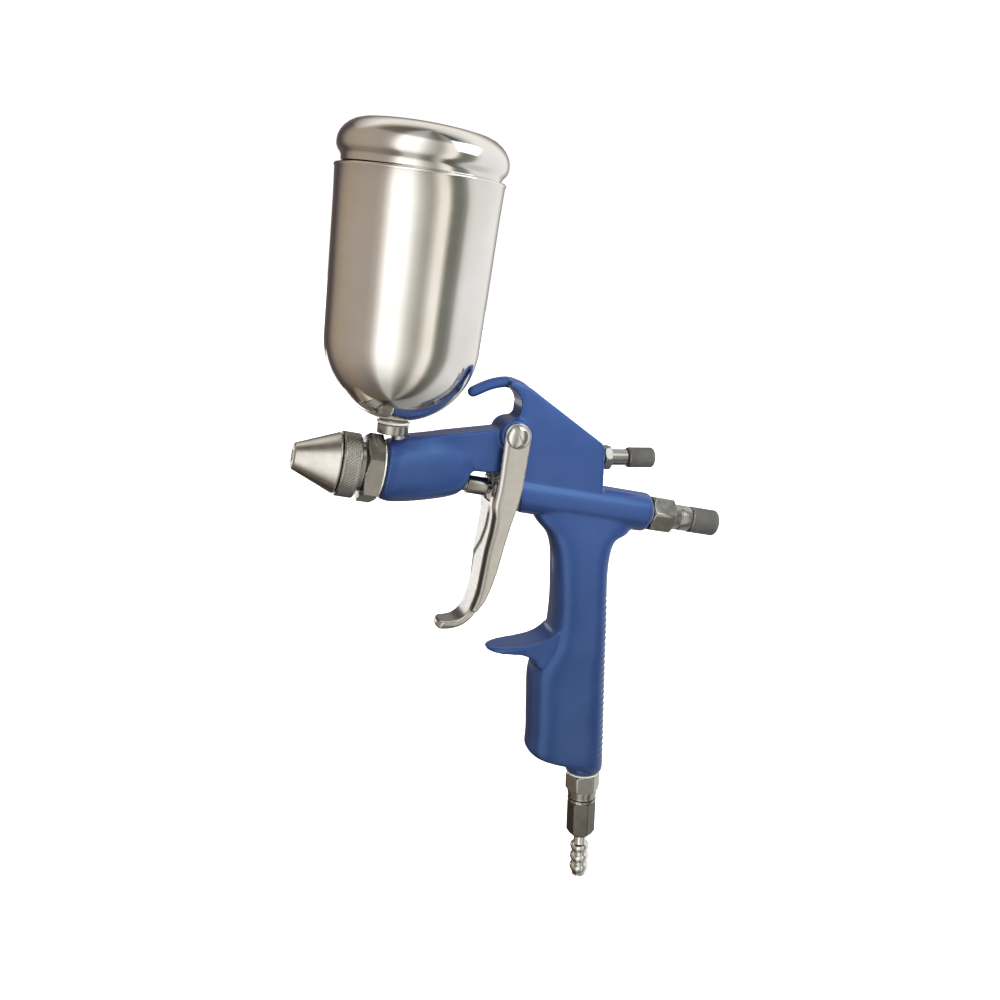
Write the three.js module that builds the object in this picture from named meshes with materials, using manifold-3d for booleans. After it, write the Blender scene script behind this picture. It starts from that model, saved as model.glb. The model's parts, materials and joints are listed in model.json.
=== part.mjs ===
// Small gravity-feed airbrush gun: painted body, aluminium cup above, hose barb below.
// Millimetres, +Z up. The nozzle points along -X, the gun's left side is -Y.
// The gun is drawn about its needle axis (Y = Z = 0, with X = 0 just behind the front of
// the body) and then moved so that the origin lies under the crown of the hanging hook.
import * as THREE from 'three';
import { mergeVertices } from 'three/addons/utils/BufferGeometryUtils.js';
import Module from 'manifold-3d';

const wasm = await Module();
wasm.setup();

// ---- driving dimensions -------------------------------------------------------------

const GAP = 0.3; // running gap between pieces that touch
const FINE = 28; // facets round a large turned piece
const MEDIUM = 16;
const COARSE = 10; // facets round a small hidden piece

// needle line
const CAP_TIP_X = -35.3;
const CAP_TIP_RADIUS = 4.7;
const CAP_BASE_X = -20;
const CAP_BASE_RADIUS = 10.8;
const RING_RADIUS = 11.4;
const RING_REAR_X = -13.1;
const HEX_FRONT_X = -11.3;
const HEX_REAR_X = -5.3;
const BODY_FRONT_X = -4.2;
const INLET_STUB_X = 0.3; // the paint inlet drops straight into the body here
const HEX_ACROSS_CORNERS = 25.4;
const NOSE_RADIUS = 8.5;
const NEEDLE_RADIUS = 1;
const FLUID_BORE_RADIUS = 2.9;
const PACKING_NUT_END_X = 36.6;
const REAR_BARREL_RADIUS = 7.4;
const REAR_BARREL_END_X = 100;
const CHAMBER_RADIUS = 5.9;

// trigger
const PIVOT_X = 39.5;
const PIVOT_Z = 21;
const TRIGGER_HALF_WIDTH = 9.5;
const TRIGGER_SHEET = 1.3;
const BOSS_HALF_WIDTH = 7.7;
const STEM_HEAD_X = 37.8;

// knobs behind the body
const HOUSING_END_X = 117.3;
const FLUID_KNOB_END_X = 129.2;
const FLUID_KNOB_RADIUS = 5;
const AIR_KNOB_END = 20.6; // along the knob's own tilted axis
const AIR_KNOB_RADIUS = 3.8;
const AIR_KNOB_X = 76.3;
const AIR_KNOB_Z = 17.9;
const AIR_KNOB_TILT = 8.9; // degrees, up towards the rear

// cup
const CUP_LEAN = 5.2; // degrees, forwards
const CUP_BASE_X = -1.6; // where the cup's axis meets the needle line
const CUP_BOTTOM = 18.2; // height above the needle line, along the cup's axis
const CUP_SHOULDER = 46;
const CUP_LOWER_RADIUS = 26.6;
const CUP_RIM = 101;
const CUP_RIM_RADIUS = 28.2;
const CUP_WALL = 0.9;
const LID_TOP = 116.7;
const LID_BEAD_RADIUS = 28.7;
const LID_SEAT = 98; // the pushed-in lid is pressed home further at the rear, about this height
const LID_TILT = 1.8; // degrees

// handle and hose fitting
const HANDLE_RAKE = 11.6; // degrees, the foot of the handle lies to the rear
const AIR_INLET_X = 99.8;
const AIR_INLET_Z = -105.3;
const FITTING_LENGTH = 48.2;

// hanging hook
const HOOK_BAR_RADIUS = 2.1;
const HOOK_CROWN_X = 34;
const HOOK_CROWN_Z = 38.5;

// ---- looks ---------------------------------------------------------------------------

const surface = (color, roughness, metalness) => () =>
  new THREE.MeshStandardMaterial({ color, roughness, metalness });

const bluePaint = surface(0x2c4a9c, 0.3, 0.25);
const polishedAluminium = surface(0xc9c6bd, 0.22, 1);
const satinSteel = surface(0xb3b0a8, 0.36, 1);
const nickel = surface(0xb9b9b2, 0.28, 1);
const chrome = surface(0xd2d2cc, 0.12, 1);
const darkSteel = surface(0x5b5b50, 0.45, 0.9);
const greyKnob = surface(0x5c5c5a, 0.5, 0.7);
const springSteel = surface(0x9a9a96, 0.35, 1);
const brass = surface(0xb3903f, 0.35, 1);
const blackRubber = surface(0x1b1b1b, 0.85, 0);
const whiteSeal = surface(0xe8e6de, 0.6, 0);

// ---- solid helpers -------------------------------------------------------------------

const radians = THREE.MathUtils.degToRad;

function signedVolume(position, triangles) {
  const [a, b, c] = [new THREE.Vector3(), new THREE.Vector3(), new THREE.Vector3()];
  let sum = 0;
  for (let i = 0; i < triangles.length; i += 3) {
    a.fromArray(position, 3 * triangles[i]);
    b.fromArray(position, 3 * triangles[i + 1]);
    c.fromArray(position, 3 * triangles[i + 2]);
    sum += a.dot(b.cross(c));
  }
  return sum / 6;
}

// A closed manifold solid from any closed geometry, with its faces turned outwards.
function solid(geometry) {
  const bare = geometry.clone();
  bare.deleteAttribute('normal');
  bare.deleteAttribute('uv');
  const merged = mergeVertices(bare, 1e-4);
  const vertProperties = new Float32Array(merged.attributes.position.array);
  const triangles = [];
  for (let i = 0; i < merged.index.count; i += 3) {
    const [a, b, c] = [0, 1, 2].map((k) => merged.index.getX(i + k));
    if (a !== b && b !== c && c !== a) triangles.push(a, b, c);
  }
  if (signedVolume(vertProperties, triangles) < 0) triangles.reverse();
  const triVerts = new Uint32Array(triangles);
  return new wasm.Manifold(new wasm.Mesh({ numProp: 3, vertProperties, triVerts }));
}

function geometryOf(manifold) {
  const { vertProperties, triVerts, numProp } = manifold.getMesh();
  const position = new Float32Array((vertProperties.length / numProp) * 3);
  for (let i = 0; i < position.length / 3; i++) {
    for (let k = 0; k < 3; k++) position[3 * i + k] = vertProperties[i * numProp + k];
  }
  const geometry = new THREE.BufferGeometry();
  geometry.setAttribute('position', new THREE.BufferAttribute(position, 3));
  geometry.setIndex(new THREE.BufferAttribute(new Uint32Array(triVerts), 1));
  geometry.computeVertexNormals();
  return geometry;
}

const join = (...solids) => solids.reduce((whole, next) => whole.add(next));
const cut = (whole, ...tools) => tools.reduce((rest, tool) => rest.subtract(tool), whole);

// A turned piece on the X axis. The profile is [x, radius] points and closes on itself.
function turned(profile, facets = MEDIUM, phase = 0) {
  const points = [...profile, profile[0]].map(([x, r]) => new THREE.Vector2(r, x));
  const lathe = new THREE.LatheGeometry(points, facets, phase);
  return solid(lathe.rotateZ(-Math.PI / 2));
}

// A plain rod or a tube on the X axis.
const rod = (x0, x1, r, facets = MEDIUM, phase = 0) =>
  turned([[x0, 0], [x0, r], [x1, r], [x1, 0]], facets, phase);
const tube = (x0, x1, inner, outer, facets = MEDIUM) =>
  turned([[x0, inner], [x0, outer], [x1, outer], [x1, inner]], facets);

// A hexagonal bar whose corners are turned down by a small chamfer at both ends.
function hexBar(x0, x1, cornerRadius, chamfer = 0.8) {
  const bar = rod(x0, x1, cornerRadius, 6, Math.PI / 6);
  const flat = cornerRadius * Math.cos(Math.PI / 6);
  const turnedDown = turned([
    [x0, 0], [x0, flat], [x0 + chamfer, cornerRadius + 0.1],
    [x1 - chamfer, cornerRadius + 0.1], [x1, flat], [x1, 0],
  ], MEDIUM);
  return bar.intersect(turnedDown);
}

// A rod between two points anywhere.
function drill(from, to, r, facets = COARSE) {
  const start = new THREE.Vector3(...from);
  const span = new THREE.Vector3(...to).sub(start);
  const bar = new THREE.CylinderGeometry(r, r, span.length(), facets);
  bar.translate(0, span.length() / 2, 0);
  const up = new THREE.Vector3(0, 1, 0);
  bar.applyQuaternion(new THREE.Quaternion().setFromUnitVectors(up, span.normalize()));
  return solid(bar.translate(start.x, start.y, start.z));
}

const SIDE_VIEW = new THREE.Matrix4().makeBasis(
  new THREE.Vector3(1, 0, 0), new THREE.Vector3(0, 0, 1), new THREE.Vector3(0, -1, 0));
const FRONT_VIEW = new THREE.Matrix4().makeBasis(
  new THREE.Vector3(0, 1, 0), new THREE.Vector3(0, 0, 1), new THREE.Vector3(1, 0, 0));

// A slab with its outline drawn in the side view (X, Z), centred on the middle plane.
function slab(shape, halfWidth, bevel = 0, steps = 4) {
  const geometry = new THREE.ExtrudeGeometry(shape, {
    depth: 2 * (halfWidth - bevel), curveSegments: steps, bevelEnabled: bevel > 0,
    bevelThickness: bevel, bevelSize: bevel, bevelOffset: -bevel, bevelSegments: 1,
  });
  geometry.translate(0, 0, bevel - halfWidth);
  return solid(geometry.applyMatrix4(SIDE_VIEW));
}

// A skin over a row of rings, each running from a front point to a rear point, with rounded
// corners: power 1 is an ellipse and smaller powers are squarer.
function loft(rings, facets, power) {
  const bend = (v) => Math.sign(v) * Math.abs(v) ** power;
  const positions = [];
  const centres = [];
  for (const { from, to, half } of rings) {
    const a = new THREE.Vector3(from[0], 0, from[1]);
    const b = new THREE.Vector3(to[0], 0, to[1]);
    const middle = a.clone().add(b).multiplyScalar(0.5);
    const reach = b.clone().sub(a).multiplyScalar(0.5);
    for (let i = 0; i < facets; i++) {
      const angle = (2 * Math.PI * i) / facets;
      const point = middle.clone().addScaledVector(reach, bend(Math.cos(angle)));
      positions.push(point.x, half * bend(Math.sin(angle)), point.z);
    }
    centres.push(middle);
  }
  const ends = [centres[0], centres.at(-1)];
  for (const end of ends) positions.push(end.x, 0, end.z);
  const index = [];
  const last = (rings.length - 1) * facets;
  const hub = rings.length * facets;
  for (let i = 0; i < facets; i++) {
    const next = (i + 1) % facets;
    for (let row = 0; row < last; row += facets) {
      index.push(row + i, row + next, row + facets + next);
      index.push(row + i, row + facets + next, row + facets + i);
    }
    index.push(hub, next, i);
    index.push(hub + 1, last + i, last + next);
  }
  const geometry = new THREE.BufferGeometry();
  geometry.setAttribute('position', new THREE.Float32BufferAttribute(positions, 3));
  geometry.setIndex(index);
  return solid(geometry);
}

// A coil spring on the X axis, swept as one closed wire.
function spring(x0, x1, coilRadius, wireRadius, turns) {
  class Helix extends THREE.Curve {
    getPoint(t, target = new THREE.Vector3()) {
      const angle = 2 * Math.PI * turns * t;
      const x = THREE.MathUtils.lerp(x0 + wireRadius, x1 - wireRadius, t);
      return target.set(x, coilRadius * Math.cos(angle), coilRadius * Math.sin(angle));
    }
  }
  const corners = [0, 1, 2, 3, 4].map((i) => new THREE.Vector2(wireRadius, 0)
    .rotateAround(new THREE.Vector2(), (2 * Math.PI * i) / 5));
  return solid(new THREE.ExtrudeGeometry(new THREE.Shape(corners), {
    steps: 8 * turns, extrudePath: new Helix(),
  }));
}

// Frames: the whole gun, and one turned frame for each slanted axis, whose X runs along it.
const gun = new THREE.Group();
gun.position.set(-HOOK_CROWN_X, 0, HOOK_BAR_RADIUS - HOOK_CROWN_Z);

function slantedFrame(x, z, pitch) {
  const frame = new THREE.Group();
  frame.position.set(x, 0, z);
  frame.rotation.y = radians(pitch);
  gun.add(frame);
  return frame;
}
const cupFrame = slantedFrame(CUP_BASE_X, 0, -90 - CUP_LEAN);
const airFrame = slantedFrame(AIR_KNOB_X, AIR_KNOB_Z, -AIR_KNOB_TILT);
const inletFrame = slantedFrame(AIR_INLET_X, AIR_INLET_Z, 90 - HANDLE_RAKE);

function add(name, shape, look, frame = gun) {
  const mesh = new THREE.Mesh(geometryOf(shape), look());
  mesh.name = name;
  frame.add(mesh);
}

// The same solid seen from the gun's own frame, for cutting slanted bores in the body.
function inGun(shape, frame) {
  frame.updateMatrix();
  return solid(geometryOf(shape).applyMatrix4(frame.matrix));
}

// An upright rod on the line of the paint inlet.
const upright = (z0, z1, r) => drill([INLET_STUB_X, 0, z0], [INLET_STUB_X, 0, z1], r, MEDIUM);

// ---- body ------------------------------------------------------------------------------

// The flat plate behind the cup: it carries the trigger pivot and the rear of the hook.
function plate() {
  const outline = new THREE.Shape()
    .moveTo(-3, 4)
    .lineTo(1.7, 13.4)
    .lineTo(30.7, 21.4)
    .lineTo(37.4, 22.4)
    .quadraticCurveTo(40.6, 27.6, 40.1, 31.6)
    .quadraticCurveTo(39.2, 36, 34, 37.4)
    .lineTo(34, 39.6)
    .quadraticCurveTo(40, 39.9, 45.4, 36.8)
    .lineTo(73, 23.8)
    .quadraticCurveTo(75, 23, 75.3, 20.5)
    .lineTo(78.2, 6)
    .lineTo(78.2, 0)
    .lineTo(45.8, 0)
    .lineTo(43.6, 6.9)
    .lineTo(26, 5.4)
    .lineTo(20, -3);
  return slab(outline, 5.5, 0.9);
}

// The round bar of the hanging hook, with a ball end towards the nozzle.
function hookBar() {
  const route = new THREE.CatmullRomCurve3([
    [42, 36.4], [39, 37.8], [HOOK_CROWN_X, HOOK_CROWN_Z], [28.4, 36.6], [22.6, 32.9],
  ].map(([x, z]) => new THREE.Vector3(x, 0, z)));
  const section = new THREE.Shape().absarc(0, 0, HOOK_BAR_RADIUS, 0, 2 * Math.PI);
  const bar = new THREE.ExtrudeGeometry(section, {
    steps: 9, curveSegments: 6, extrudePath: route,
  });
  const ball = new THREE.SphereGeometry(HOOK_BAR_RADIUS, 12, 8);
  return join(solid(bar), solid(ball.translate(22.6, 0, 32.9)));
}

// The rounded head of the body under the cup, as [x, bottom, top, half width].
function head() {
  const stations = [
    [BODY_FRONT_X, -9.7, 10.9, 10.3], [0, -10.4, 12.6, 10.6], [8, -9.1, 15.2, 10.2],
    [16, -7.1, 17.2, 9.4], [22, -5.1, 18.7, 8.5], [25.4, -2.9, 19.3, 7.6], [27, 1, 19.5, 6],
  ];
  const rings = stations.map(([x, bottom, top, half]) =>
    ({ from: [x, bottom], to: [x, top], half }));
  return loft(rings, 22, 0.86);
}

// The handle, as pairs of front and rear points going down, with the half width between.
function handle() {
  const rings = [
    { from: [51, -2], to: [95, -2], half: 6.2 },
    { from: [56.8, -9.2], to: [93, -8.4], half: 6.8 },
    { from: [62, -13.4], to: [88.6, -12], half: 7.2 },
    { from: [65.2, -18.9], to: [87.6, -18.2], half: 7.8 },
    { from: [67.7, -28], to: [88.8, -28], half: 8.6 },
    { from: [70.5, -41], to: [91.8, -41], half: 9.3 },
    { from: [71.4, -55], to: [94.8, -55], half: 9.7 },
    { from: [67.8, -66], to: [97.4, -66], half: 9.8 },
    { from: [70.2, -80], to: [100.6, -80], half: 9.8 },
    { from: [72.9, -92.4], to: [103.6, -93], half: 9.6 },
    { from: [74.9, -98.4], to: [105.5, -101.2], half: 9.2 },
    { from: [78, -100.8], to: [105.9, -104], half: 8.5 },
    { from: [81, -101.6], to: [105.3, -104.7], half: 7.6 },
  ];
  return loft(rings, 22, 0.72);
}

// The finger rest in front of the handle, below the trigger.
function fingerRest() {
  const outline = new THREE.Shape()
    .moveTo(76, -49)
    .lineTo(72, -49.4)
    .quadraticCurveTo(69.4, -54.6, 60, -56.8)
    .lineTo(50.4, -59)
    .quadraticCurveTo(48, -59.6, 48.2, -60.5)
    .quadraticCurveTo(49, -61.5, 58, -60.2)
    .quadraticCurveTo(65.8, -59.2, 68, -64)
    .lineTo(76, -66);
  const fromAbove = new THREE.Shape()
    .moveTo(80, -7.6)
    .lineTo(62, -7.6)
    .quadraticCurveTo(47.9, -6.6, 47.9, 0)
    .quadraticCurveTo(47.9, 6.6, 62, 7.6)
    .lineTo(80, 7.6);
  const column = new THREE.ExtrudeGeometry(fromAbove, {
    depth: 30, curveSegments: 4, bevelEnabled: false,
  });
  column.translate(0, 0, -75);
  return slab(outline, 9).intersect(solid(column));
}

// Bores of the paint way, the air valve, the air control and the air inlet.
function bodyBores() {
  const frontFace = BODY_FRONT_X - 1;
  return [
    rod(frontFace, 8.5, 4.9),
    rod(8, 28, FLUID_BORE_RADIUS),
    upright(0, 7, 2.2),
    upright(5.7, 16, 3.5),
    inGun(rod(13, 20, 6), cupFrame),
    rod(40, 48.2, 5.6),
    rod(48, 59, 4.9),
    rod(58, 62, 3.6),
    rod(61, REAR_BARREL_END_X + 1, CHAMBER_RADIUS),
    inGun(rod(-12, 1, 3.5), airFrame),
    inGun(rod(-20, -11, 1.9), airFrame),
    drill([57.5, 0, 0], [57.5, 0, 15.4], 1.9),
    drill([58.5, 0, 15.1], [30, 0, 11.2], 1.5),
    drill([31, 0, 11.4], [frontFace, 6.4, 2.6], 1.3),
    inGun(rod(-104, 2, 3.2), inletFrame),
    inGun(rod(-11, 2, 5.6), inletFrame),
    drill([PIVOT_X, -10, PIVOT_Z], [PIVOT_X, 10, PIVOT_Z], 3.7),
  ];
}

function body() {
  const rearBarrel = turned([
    [42, 0], [42, REAR_BARREL_RADIUS], [REAR_BARREL_END_X - 1.4, REAR_BARREL_RADIUS],
    [REAR_BARREL_END_X, REAR_BARREL_RADIUS - 1.2], [REAR_BARREL_END_X, 0],
  ], FINE);
  // the front of the rear barrel slants, so that the pulled trigger lies along it
  const slant = new THREE.Shape()
    .moveTo(40, 7.2).lineTo(43.6, 7.2).lineTo(48.4, -8).lineTo(40, -8);
  const boss = drill([PIVOT_X, -BOSS_HALF_WIDTH, PIVOT_Z], [PIVOT_X, BOSS_HALF_WIDTH, PIVOT_Z],
    6.2, MEDIUM);
  const barrel = cut(rearBarrel, slab(slant, 12));
  const inletBoss = inGun(rod(-9, 1.2, 7.2), inletFrame);
  const whole = join(plate(), hookBar(), head(), barrel, handle(), fingerRest(), boss,
    inletBoss);
  return cut(whole, ...bodyBores());
}
add('gun_body', body(), bluePaint);

// ---- spray head -------------------------------------------------------------------------

// Screwed bush with the large hexagon: it carries the nozzle inside and the air cap outside.
function headFitting() {
  const nose = rod(-16.4, HEX_FRONT_X + 0.5, NOSE_RADIUS, FINE);
  const hexagon = hexBar(HEX_FRONT_X, HEX_REAR_X, HEX_ACROSS_CORNERS / 2, 1.4);
  const spigot = rod(HEX_REAR_X - 0.5, 8.2, 4.6);
  const airHoles = [...Array(6).keys()].map((i) => {
    const angle = (i * Math.PI) / 3;
    const [y, z] = [6.3 * Math.cos(angle), 6.3 * Math.sin(angle)];
    return drill([-17, y, z], [-7, y, z], 0.9, 6);
  });
  return cut(join(nose, hexagon, spigot),
    rod(-17, -8, 4), rod(-9, 9, 2.4), tube(-7.6, -5, 5.3, 8.2),
    upright(0, 6, 2.2), ...airHoles);
}
add('head_fitting', headFitting(), nickel);

add('head_gasket', tube(HEX_REAR_X + GAP, BODY_FRONT_X - GAP, 8.8, 9.9), whiteSeal);

// The bore narrows to the spray orifice just ahead of the needle's point.
add('fluid_nozzle', turned([
  [-8.3, 2.1], [-8.3, 3.7], [-16.7, 3.7], [-16.7, 5.4], [-18.6, 5.4], [-18.8, 4.2],
  [-33.8, 1.25], [-34.4, 1.2], [-34.4, 0.6], [-33.2, 0.75], [-29.2, 2.1],
]), brass);

add('air_cap', turned([
  [CAP_TIP_X, 1.9], [CAP_TIP_X, CAP_TIP_RADIUS - 0.4], [CAP_TIP_X + 0.4, CAP_TIP_RADIUS],
  [CAP_BASE_X, CAP_BASE_RADIUS],
  [CAP_BASE_X + 0.1, 9.7], [-13.4, 9.7], [-13.4, 8.8], [-16.7, 8.8], [-16.9, 8],
  [CAP_BASE_X, 7.9], [-33.4, 1.9],
], FINE), satinSteel);

add('cap_ring', turned([
  [CAP_BASE_X + 0.4, 10], [CAP_BASE_X + 0.4, RING_RADIUS - 0.3],
  [CAP_BASE_X + 0.8, RING_RADIUS], [RING_REAR_X - 0.4, RING_RADIUS],
  [RING_REAR_X, RING_RADIUS - 0.3], [RING_REAR_X, 10],
], FINE), nickel);

// ---- needle and its packing ----------------------------------------------------------------

add('needle_packing', tube(9.2, 15.6, NEEDLE_RADIUS + GAP, 2.6, COARSE), whiteSeal);

add('packing_nut', turned([
  [16, 1.3], [16, 2.6], [26.7, 2.6], [27.3, 2.6], [27.3, 3.3], [34.6, 3.3], [35, 2.7],
  [PACKING_NUT_END_X, 2.4], [PACKING_NUT_END_X, 1.3],
], COARSE), nickel);

add('fluid_needle', turned([
  [-33.3, 0], [-33.3, 0.25], [-29.5, NEEDLE_RADIUS], [100.8, NEEDLE_RADIUS], [100.8, 0],
], COARSE), satinSteel);

add('needle_collar', tube(72.3, 76, NEEDLE_RADIUS + GAP, 3.3, COARSE), brass);
add('needle_spring', spring(76.3, 106, 2.6, 0.4, 9), springSteel);

// ---- air valve -------------------------------------------------------------------------------

// The trigger bears on the crowned head in front; the disc behind closes the air way.
function valveStem() {
  const crown = 9; // radius of the head's domed front
  const edge = 5.2;
  const front = [];
  for (let i = 0; i <= 4; i++) {
    const r = (edge * i) / 4;
    front.push([STEM_HEAD_X + crown - Math.sqrt(crown * crown - r * r), r]);
  }
  const outer = turned([
    ...front, [40.5, edge], [40.5, 2.6], [62.2, 2.6], [62.2, 4.6], [65, 4.6], [65, 2.8],
    [70, 2.8], [70, 0],
  ]);
  return cut(outer, rod(STEM_HEAD_X - 1, 71, NEEDLE_RADIUS + GAP, COARSE));
}
add('air_valve_stem', valveStem(), chrome);
add('air_valve_gland', tube(48.6, 55.6, 2.9, 4.6, COARSE), brass);
add('air_valve_seal', tube(61.4, 61.9, 2.9, 4.6, COARSE), blackRubber);
add('air_valve_spring', spring(65.4, 91.6, 4.6, 0.5, 7), springSteel);

// ---- fluid knob behind the body ----------------------------------------------------------------

add('adjuster_housing', cut(
  join(
    rod(92, 101, 5.6),
    hexBar(REAR_BARREL_END_X + GAP, 109.5, 7.3),
    turned([[109, 0], [109, 4.8], [HOUSING_END_X - 0.4, 4.8], [HOUSING_END_X, 4.5],
      [HOUSING_END_X, 0]]),
  ), rod(91, 118, 3.9)), nickel);

add('needle_stop', rod(106.4, 111, 3.5, COARSE), brass);

add('fluid_knob', turned([
  [111.3, 0], [111.3, 3.6], [HOUSING_END_X + GAP, 3.6],
  [HOUSING_END_X + GAP, FLUID_KNOB_RADIUS - 0.4], [HOUSING_END_X + 0.8, FLUID_KNOB_RADIUS],
  [FLUID_KNOB_END_X - 0.8, FLUID_KNOB_RADIUS], [FLUID_KNOB_END_X, FLUID_KNOB_RADIUS - 0.7],
  [FLUID_KNOB_END_X, 0],
]), greyKnob);

// ---- air control knob, on its own tilted axis -----------------------------------------------------

add('air_control_gland', cut(
  join(rod(-7.2, 1, 3.2, COARSE), hexBar(GAP, 3.2, 4.75, 0.5), rod(3, 9.8, 3, MEDIUM)),
  rod(-8, 11, 2)), nickel, airFrame);
add('air_control_oring', turned([
  [-11.8, 1.75], [-11.8, 2.7], [-11.5, 3], [-11, 3], [-10.6, 2.7], [-10.6, 1.75],
], COARSE), blackRubber, airFrame);
add('air_control_stem', turned([
  [-15, 0], [-15, 0.4], [-12.6, 1.4], [AIR_KNOB_END - 2.4, 1.4], [AIR_KNOB_END - 2.4, 0],
], COARSE), nickel, airFrame);
add('air_control_knob', cut(turned([
  [10.1, 0], [10.1, AIR_KNOB_RADIUS - 0.4], [10.6, AIR_KNOB_RADIUS],
  [AIR_KNOB_END - 0.6, AIR_KNOB_RADIUS], [AIR_KNOB_END, AIR_KNOB_RADIUS - 0.6],
  [AIR_KNOB_END, 0],
]), rod(9, AIR_KNOB_END - 2, 1.7, COARSE)), greyKnob, airFrame);

// ---- trigger -----------------------------------------------------------------------------------------

// Side outline of the whole trigger: two arms at the pivot, a curved grip, a foot in front.
function triggerOutline() {
  return new THREE.Shape()
    .moveTo(36, 4)
    .lineTo(34.7, 19)
    .absarc(39.7, PIVOT_Z, 5, radians(200), radians(-5), true)
    .lineTo(45.8, 0)
    .quadraticCurveTo(43.9, -12, 43.8, -24)
    .quadraticCurveTo(43.4, -40, 39.6, -46)
    .quadraticCurveTo(36.8, -53.4, 29.4, -54.4)
    .quadraticCurveTo(27.2, -53.6, 28.6, -52.4)
    .quadraticCurveTo(34.8, -51, 36.9, -45.2)
    .quadraticCurveTo(38.4, -38, 37.6, -30)
    .quadraticCurveTo(36.9, -20, 37.4, -12)
    .quadraticCurveTo(37.3, -8, 36.1, -4.4);
}

// The hollow between the arms: it starts one sheet behind the grip and is open to the rear.
function triggerHollow() {
  const top = 40;
  const back = 60;
  return new THREE.Shape()
    .moveTo(20, 4)
    .lineTo(20, top)
    .lineTo(back, top)
    .lineTo(back, -44)
    .lineTo(38.6, -44)
    .quadraticCurveTo(39.8, -38, 39, -30)
    .quadraticCurveTo(38.3, -20, 38.8, -12)
    .quadraticCurveTo(38.6, -8, 37.4, -4.4)
    .lineTo(37.4, 4);
}

// Front outline (Y, Z): full width at the pivot, narrower down to a rounded foot.
function triggerWidth(inset) {
  const wide = TRIGGER_HALF_WIDTH - inset;
  const waist = 7.2 - inset;
  const foot = 5.7 - inset;
  return new THREE.Shape()
    .moveTo(-wide, 30).lineTo(-wide, -12).lineTo(-waist, -45.4).lineTo(-foot, -46)
    .quadraticCurveTo(-foot, -56, 0, -56).quadraticCurveTo(foot, -56, foot, -46)
    .lineTo(waist, -45.4).lineTo(wide, -12).lineTo(wide, 30);
}

function trigger() {
  const across = (shape) => solid(new THREE.ExtrudeGeometry(shape, {
    depth: 60, curveSegments: 4, bevelEnabled: false,
  }).applyMatrix4(FRONT_VIEW).translate(10, 0, 0));
  const outside = slab(triggerOutline(), 12, 0, 6).intersect(across(triggerWidth(0)));
  const inside = slab(triggerHollow(), 12, 0, 6)
    .intersect(across(triggerWidth(TRIGGER_SHEET)));
  const needleSlot = new THREE.Shape()
    .moveTo(30, 8).lineTo(30, -4.4).lineTo(42, -4.4).lineTo(42, 8);
  const pivotHole = drill([PIVOT_X, -12, PIVOT_Z], [PIVOT_X, 12, PIVOT_Z], 2.3);
  return cut(outside, inside, slab(needleSlot, 3.9), pivotHole);
}
add('trigger', trigger(), chrome);

// A domed, slotted head on a shank across the gun, turned on X and swung round to Y.
function pivotHead(shank) {
  const face = TRIGGER_HALF_WIDTH + GAP;
  const dome = [0, 0.35, 0.7, 1].map((t) =>
    [face + 0.5 + 1.6 * Math.cos((Math.PI / 2) * t), 4.2 * Math.sin((Math.PI / 2) * t)]);
  const blank = turned([...dome, [face, 4.2], [face, 0]]);
  const slot = new THREE.BoxGeometry(1.4, 10, 0.9).translate(face + 2.1, 0, 0);
  return cut(join(blank, shank), solid(slot));
}
const acrossGun = (shape, side) => solid(geometryOf(shape)
  .rotateZ((side * Math.PI) / 2).translate(PIVOT_X, 0, PIVOT_Z));

const shankEnd = TRIGGER_HALF_WIDTH + 1.2;
add('trigger_pivot_screw',
  acrossGun(pivotHead(rod(-shankEnd, TRIGGER_HALF_WIDTH + 1, 2, COARSE)), -1), chrome);
add('trigger_pivot_nut',
  acrossGun(cut(pivotHead(rod(10, 10.4, 3)), rod(9, shankEnd + GAP, 2.3, COARSE)), 1), chrome);
add('trigger_bush', acrossGun(tube(-7.7, 7.7, 2.3, 3.4, COARSE), 1), brass);

// ---- cup, lid and their fittings, in the cup's own frame ------------------------------------------------

// Its stub goes straight down into the body, and its collar and thread lean with the cup.
function inletNipple() {
  const leaning = join(rod(13.4, 21.6, 4.3), rod(13.4, 16.8, 5.5));
  const whole = join(inGun(leaning, cupFrame), upright(6, 14.2, 3.2));
  return cut(whole, inGun(rod(14, 22, 3), cupFrame), upright(5, 15.4, 2));
}
add('inlet_nipple', inletNipple(), nickel);
add('cup_gasket', tube(17.1, 17.9, 4.6, 6.4), whiteSeal, cupFrame);

// The bowl is half an ellipse; the wall above it widens slightly to the rim.
function cup() {
  const depth = CUP_SHOULDER - CUP_BOTTOM;
  const bowl = (radius, sink, count) => [...Array(count).keys()].map((i) => {
    const angle = radians(14) + (i / (count - 1)) * radians(76);
    return [CUP_SHOULDER - sink * Math.cos(angle), radius * Math.sin(angle)];
  });
  const outside = bowl(CUP_LOWER_RADIUS, depth, 7);
  const inside = bowl(CUP_LOWER_RADIUS - CUP_WALL, depth - CUP_WALL, 7).reverse();
  return turned([
    [CUP_BOTTOM, 4.6], ...outside, [CUP_RIM, CUP_RIM_RADIUS],
    [CUP_RIM, CUP_RIM_RADIUS - CUP_WALL], ...inside, [CUP_BOTTOM + CUP_WALL, 4.6],
  ], FINE);
}
add('cup', cup(), polishedAluminium, cupFrame);

add('cup_nut', cut(hexBar(CUP_BOTTOM + CUP_WALL + 1.4, 22.8, 6.6, 0.4), rod(19, 24, 4.6)),
  brass, cupFrame);
add('paint_strainer', turned([
  [23.1, 3.6], [23.1, 4.6], [23.8, 4.6], [23.8, 4.1], [29.4, 3.1], [30, 2.4], [30, 0],
  [29.4, 0], [29.4, 1.9], [28.9, 2.6], [23.8, 3.6],
], COARSE), nickel, cupFrame);

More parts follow.
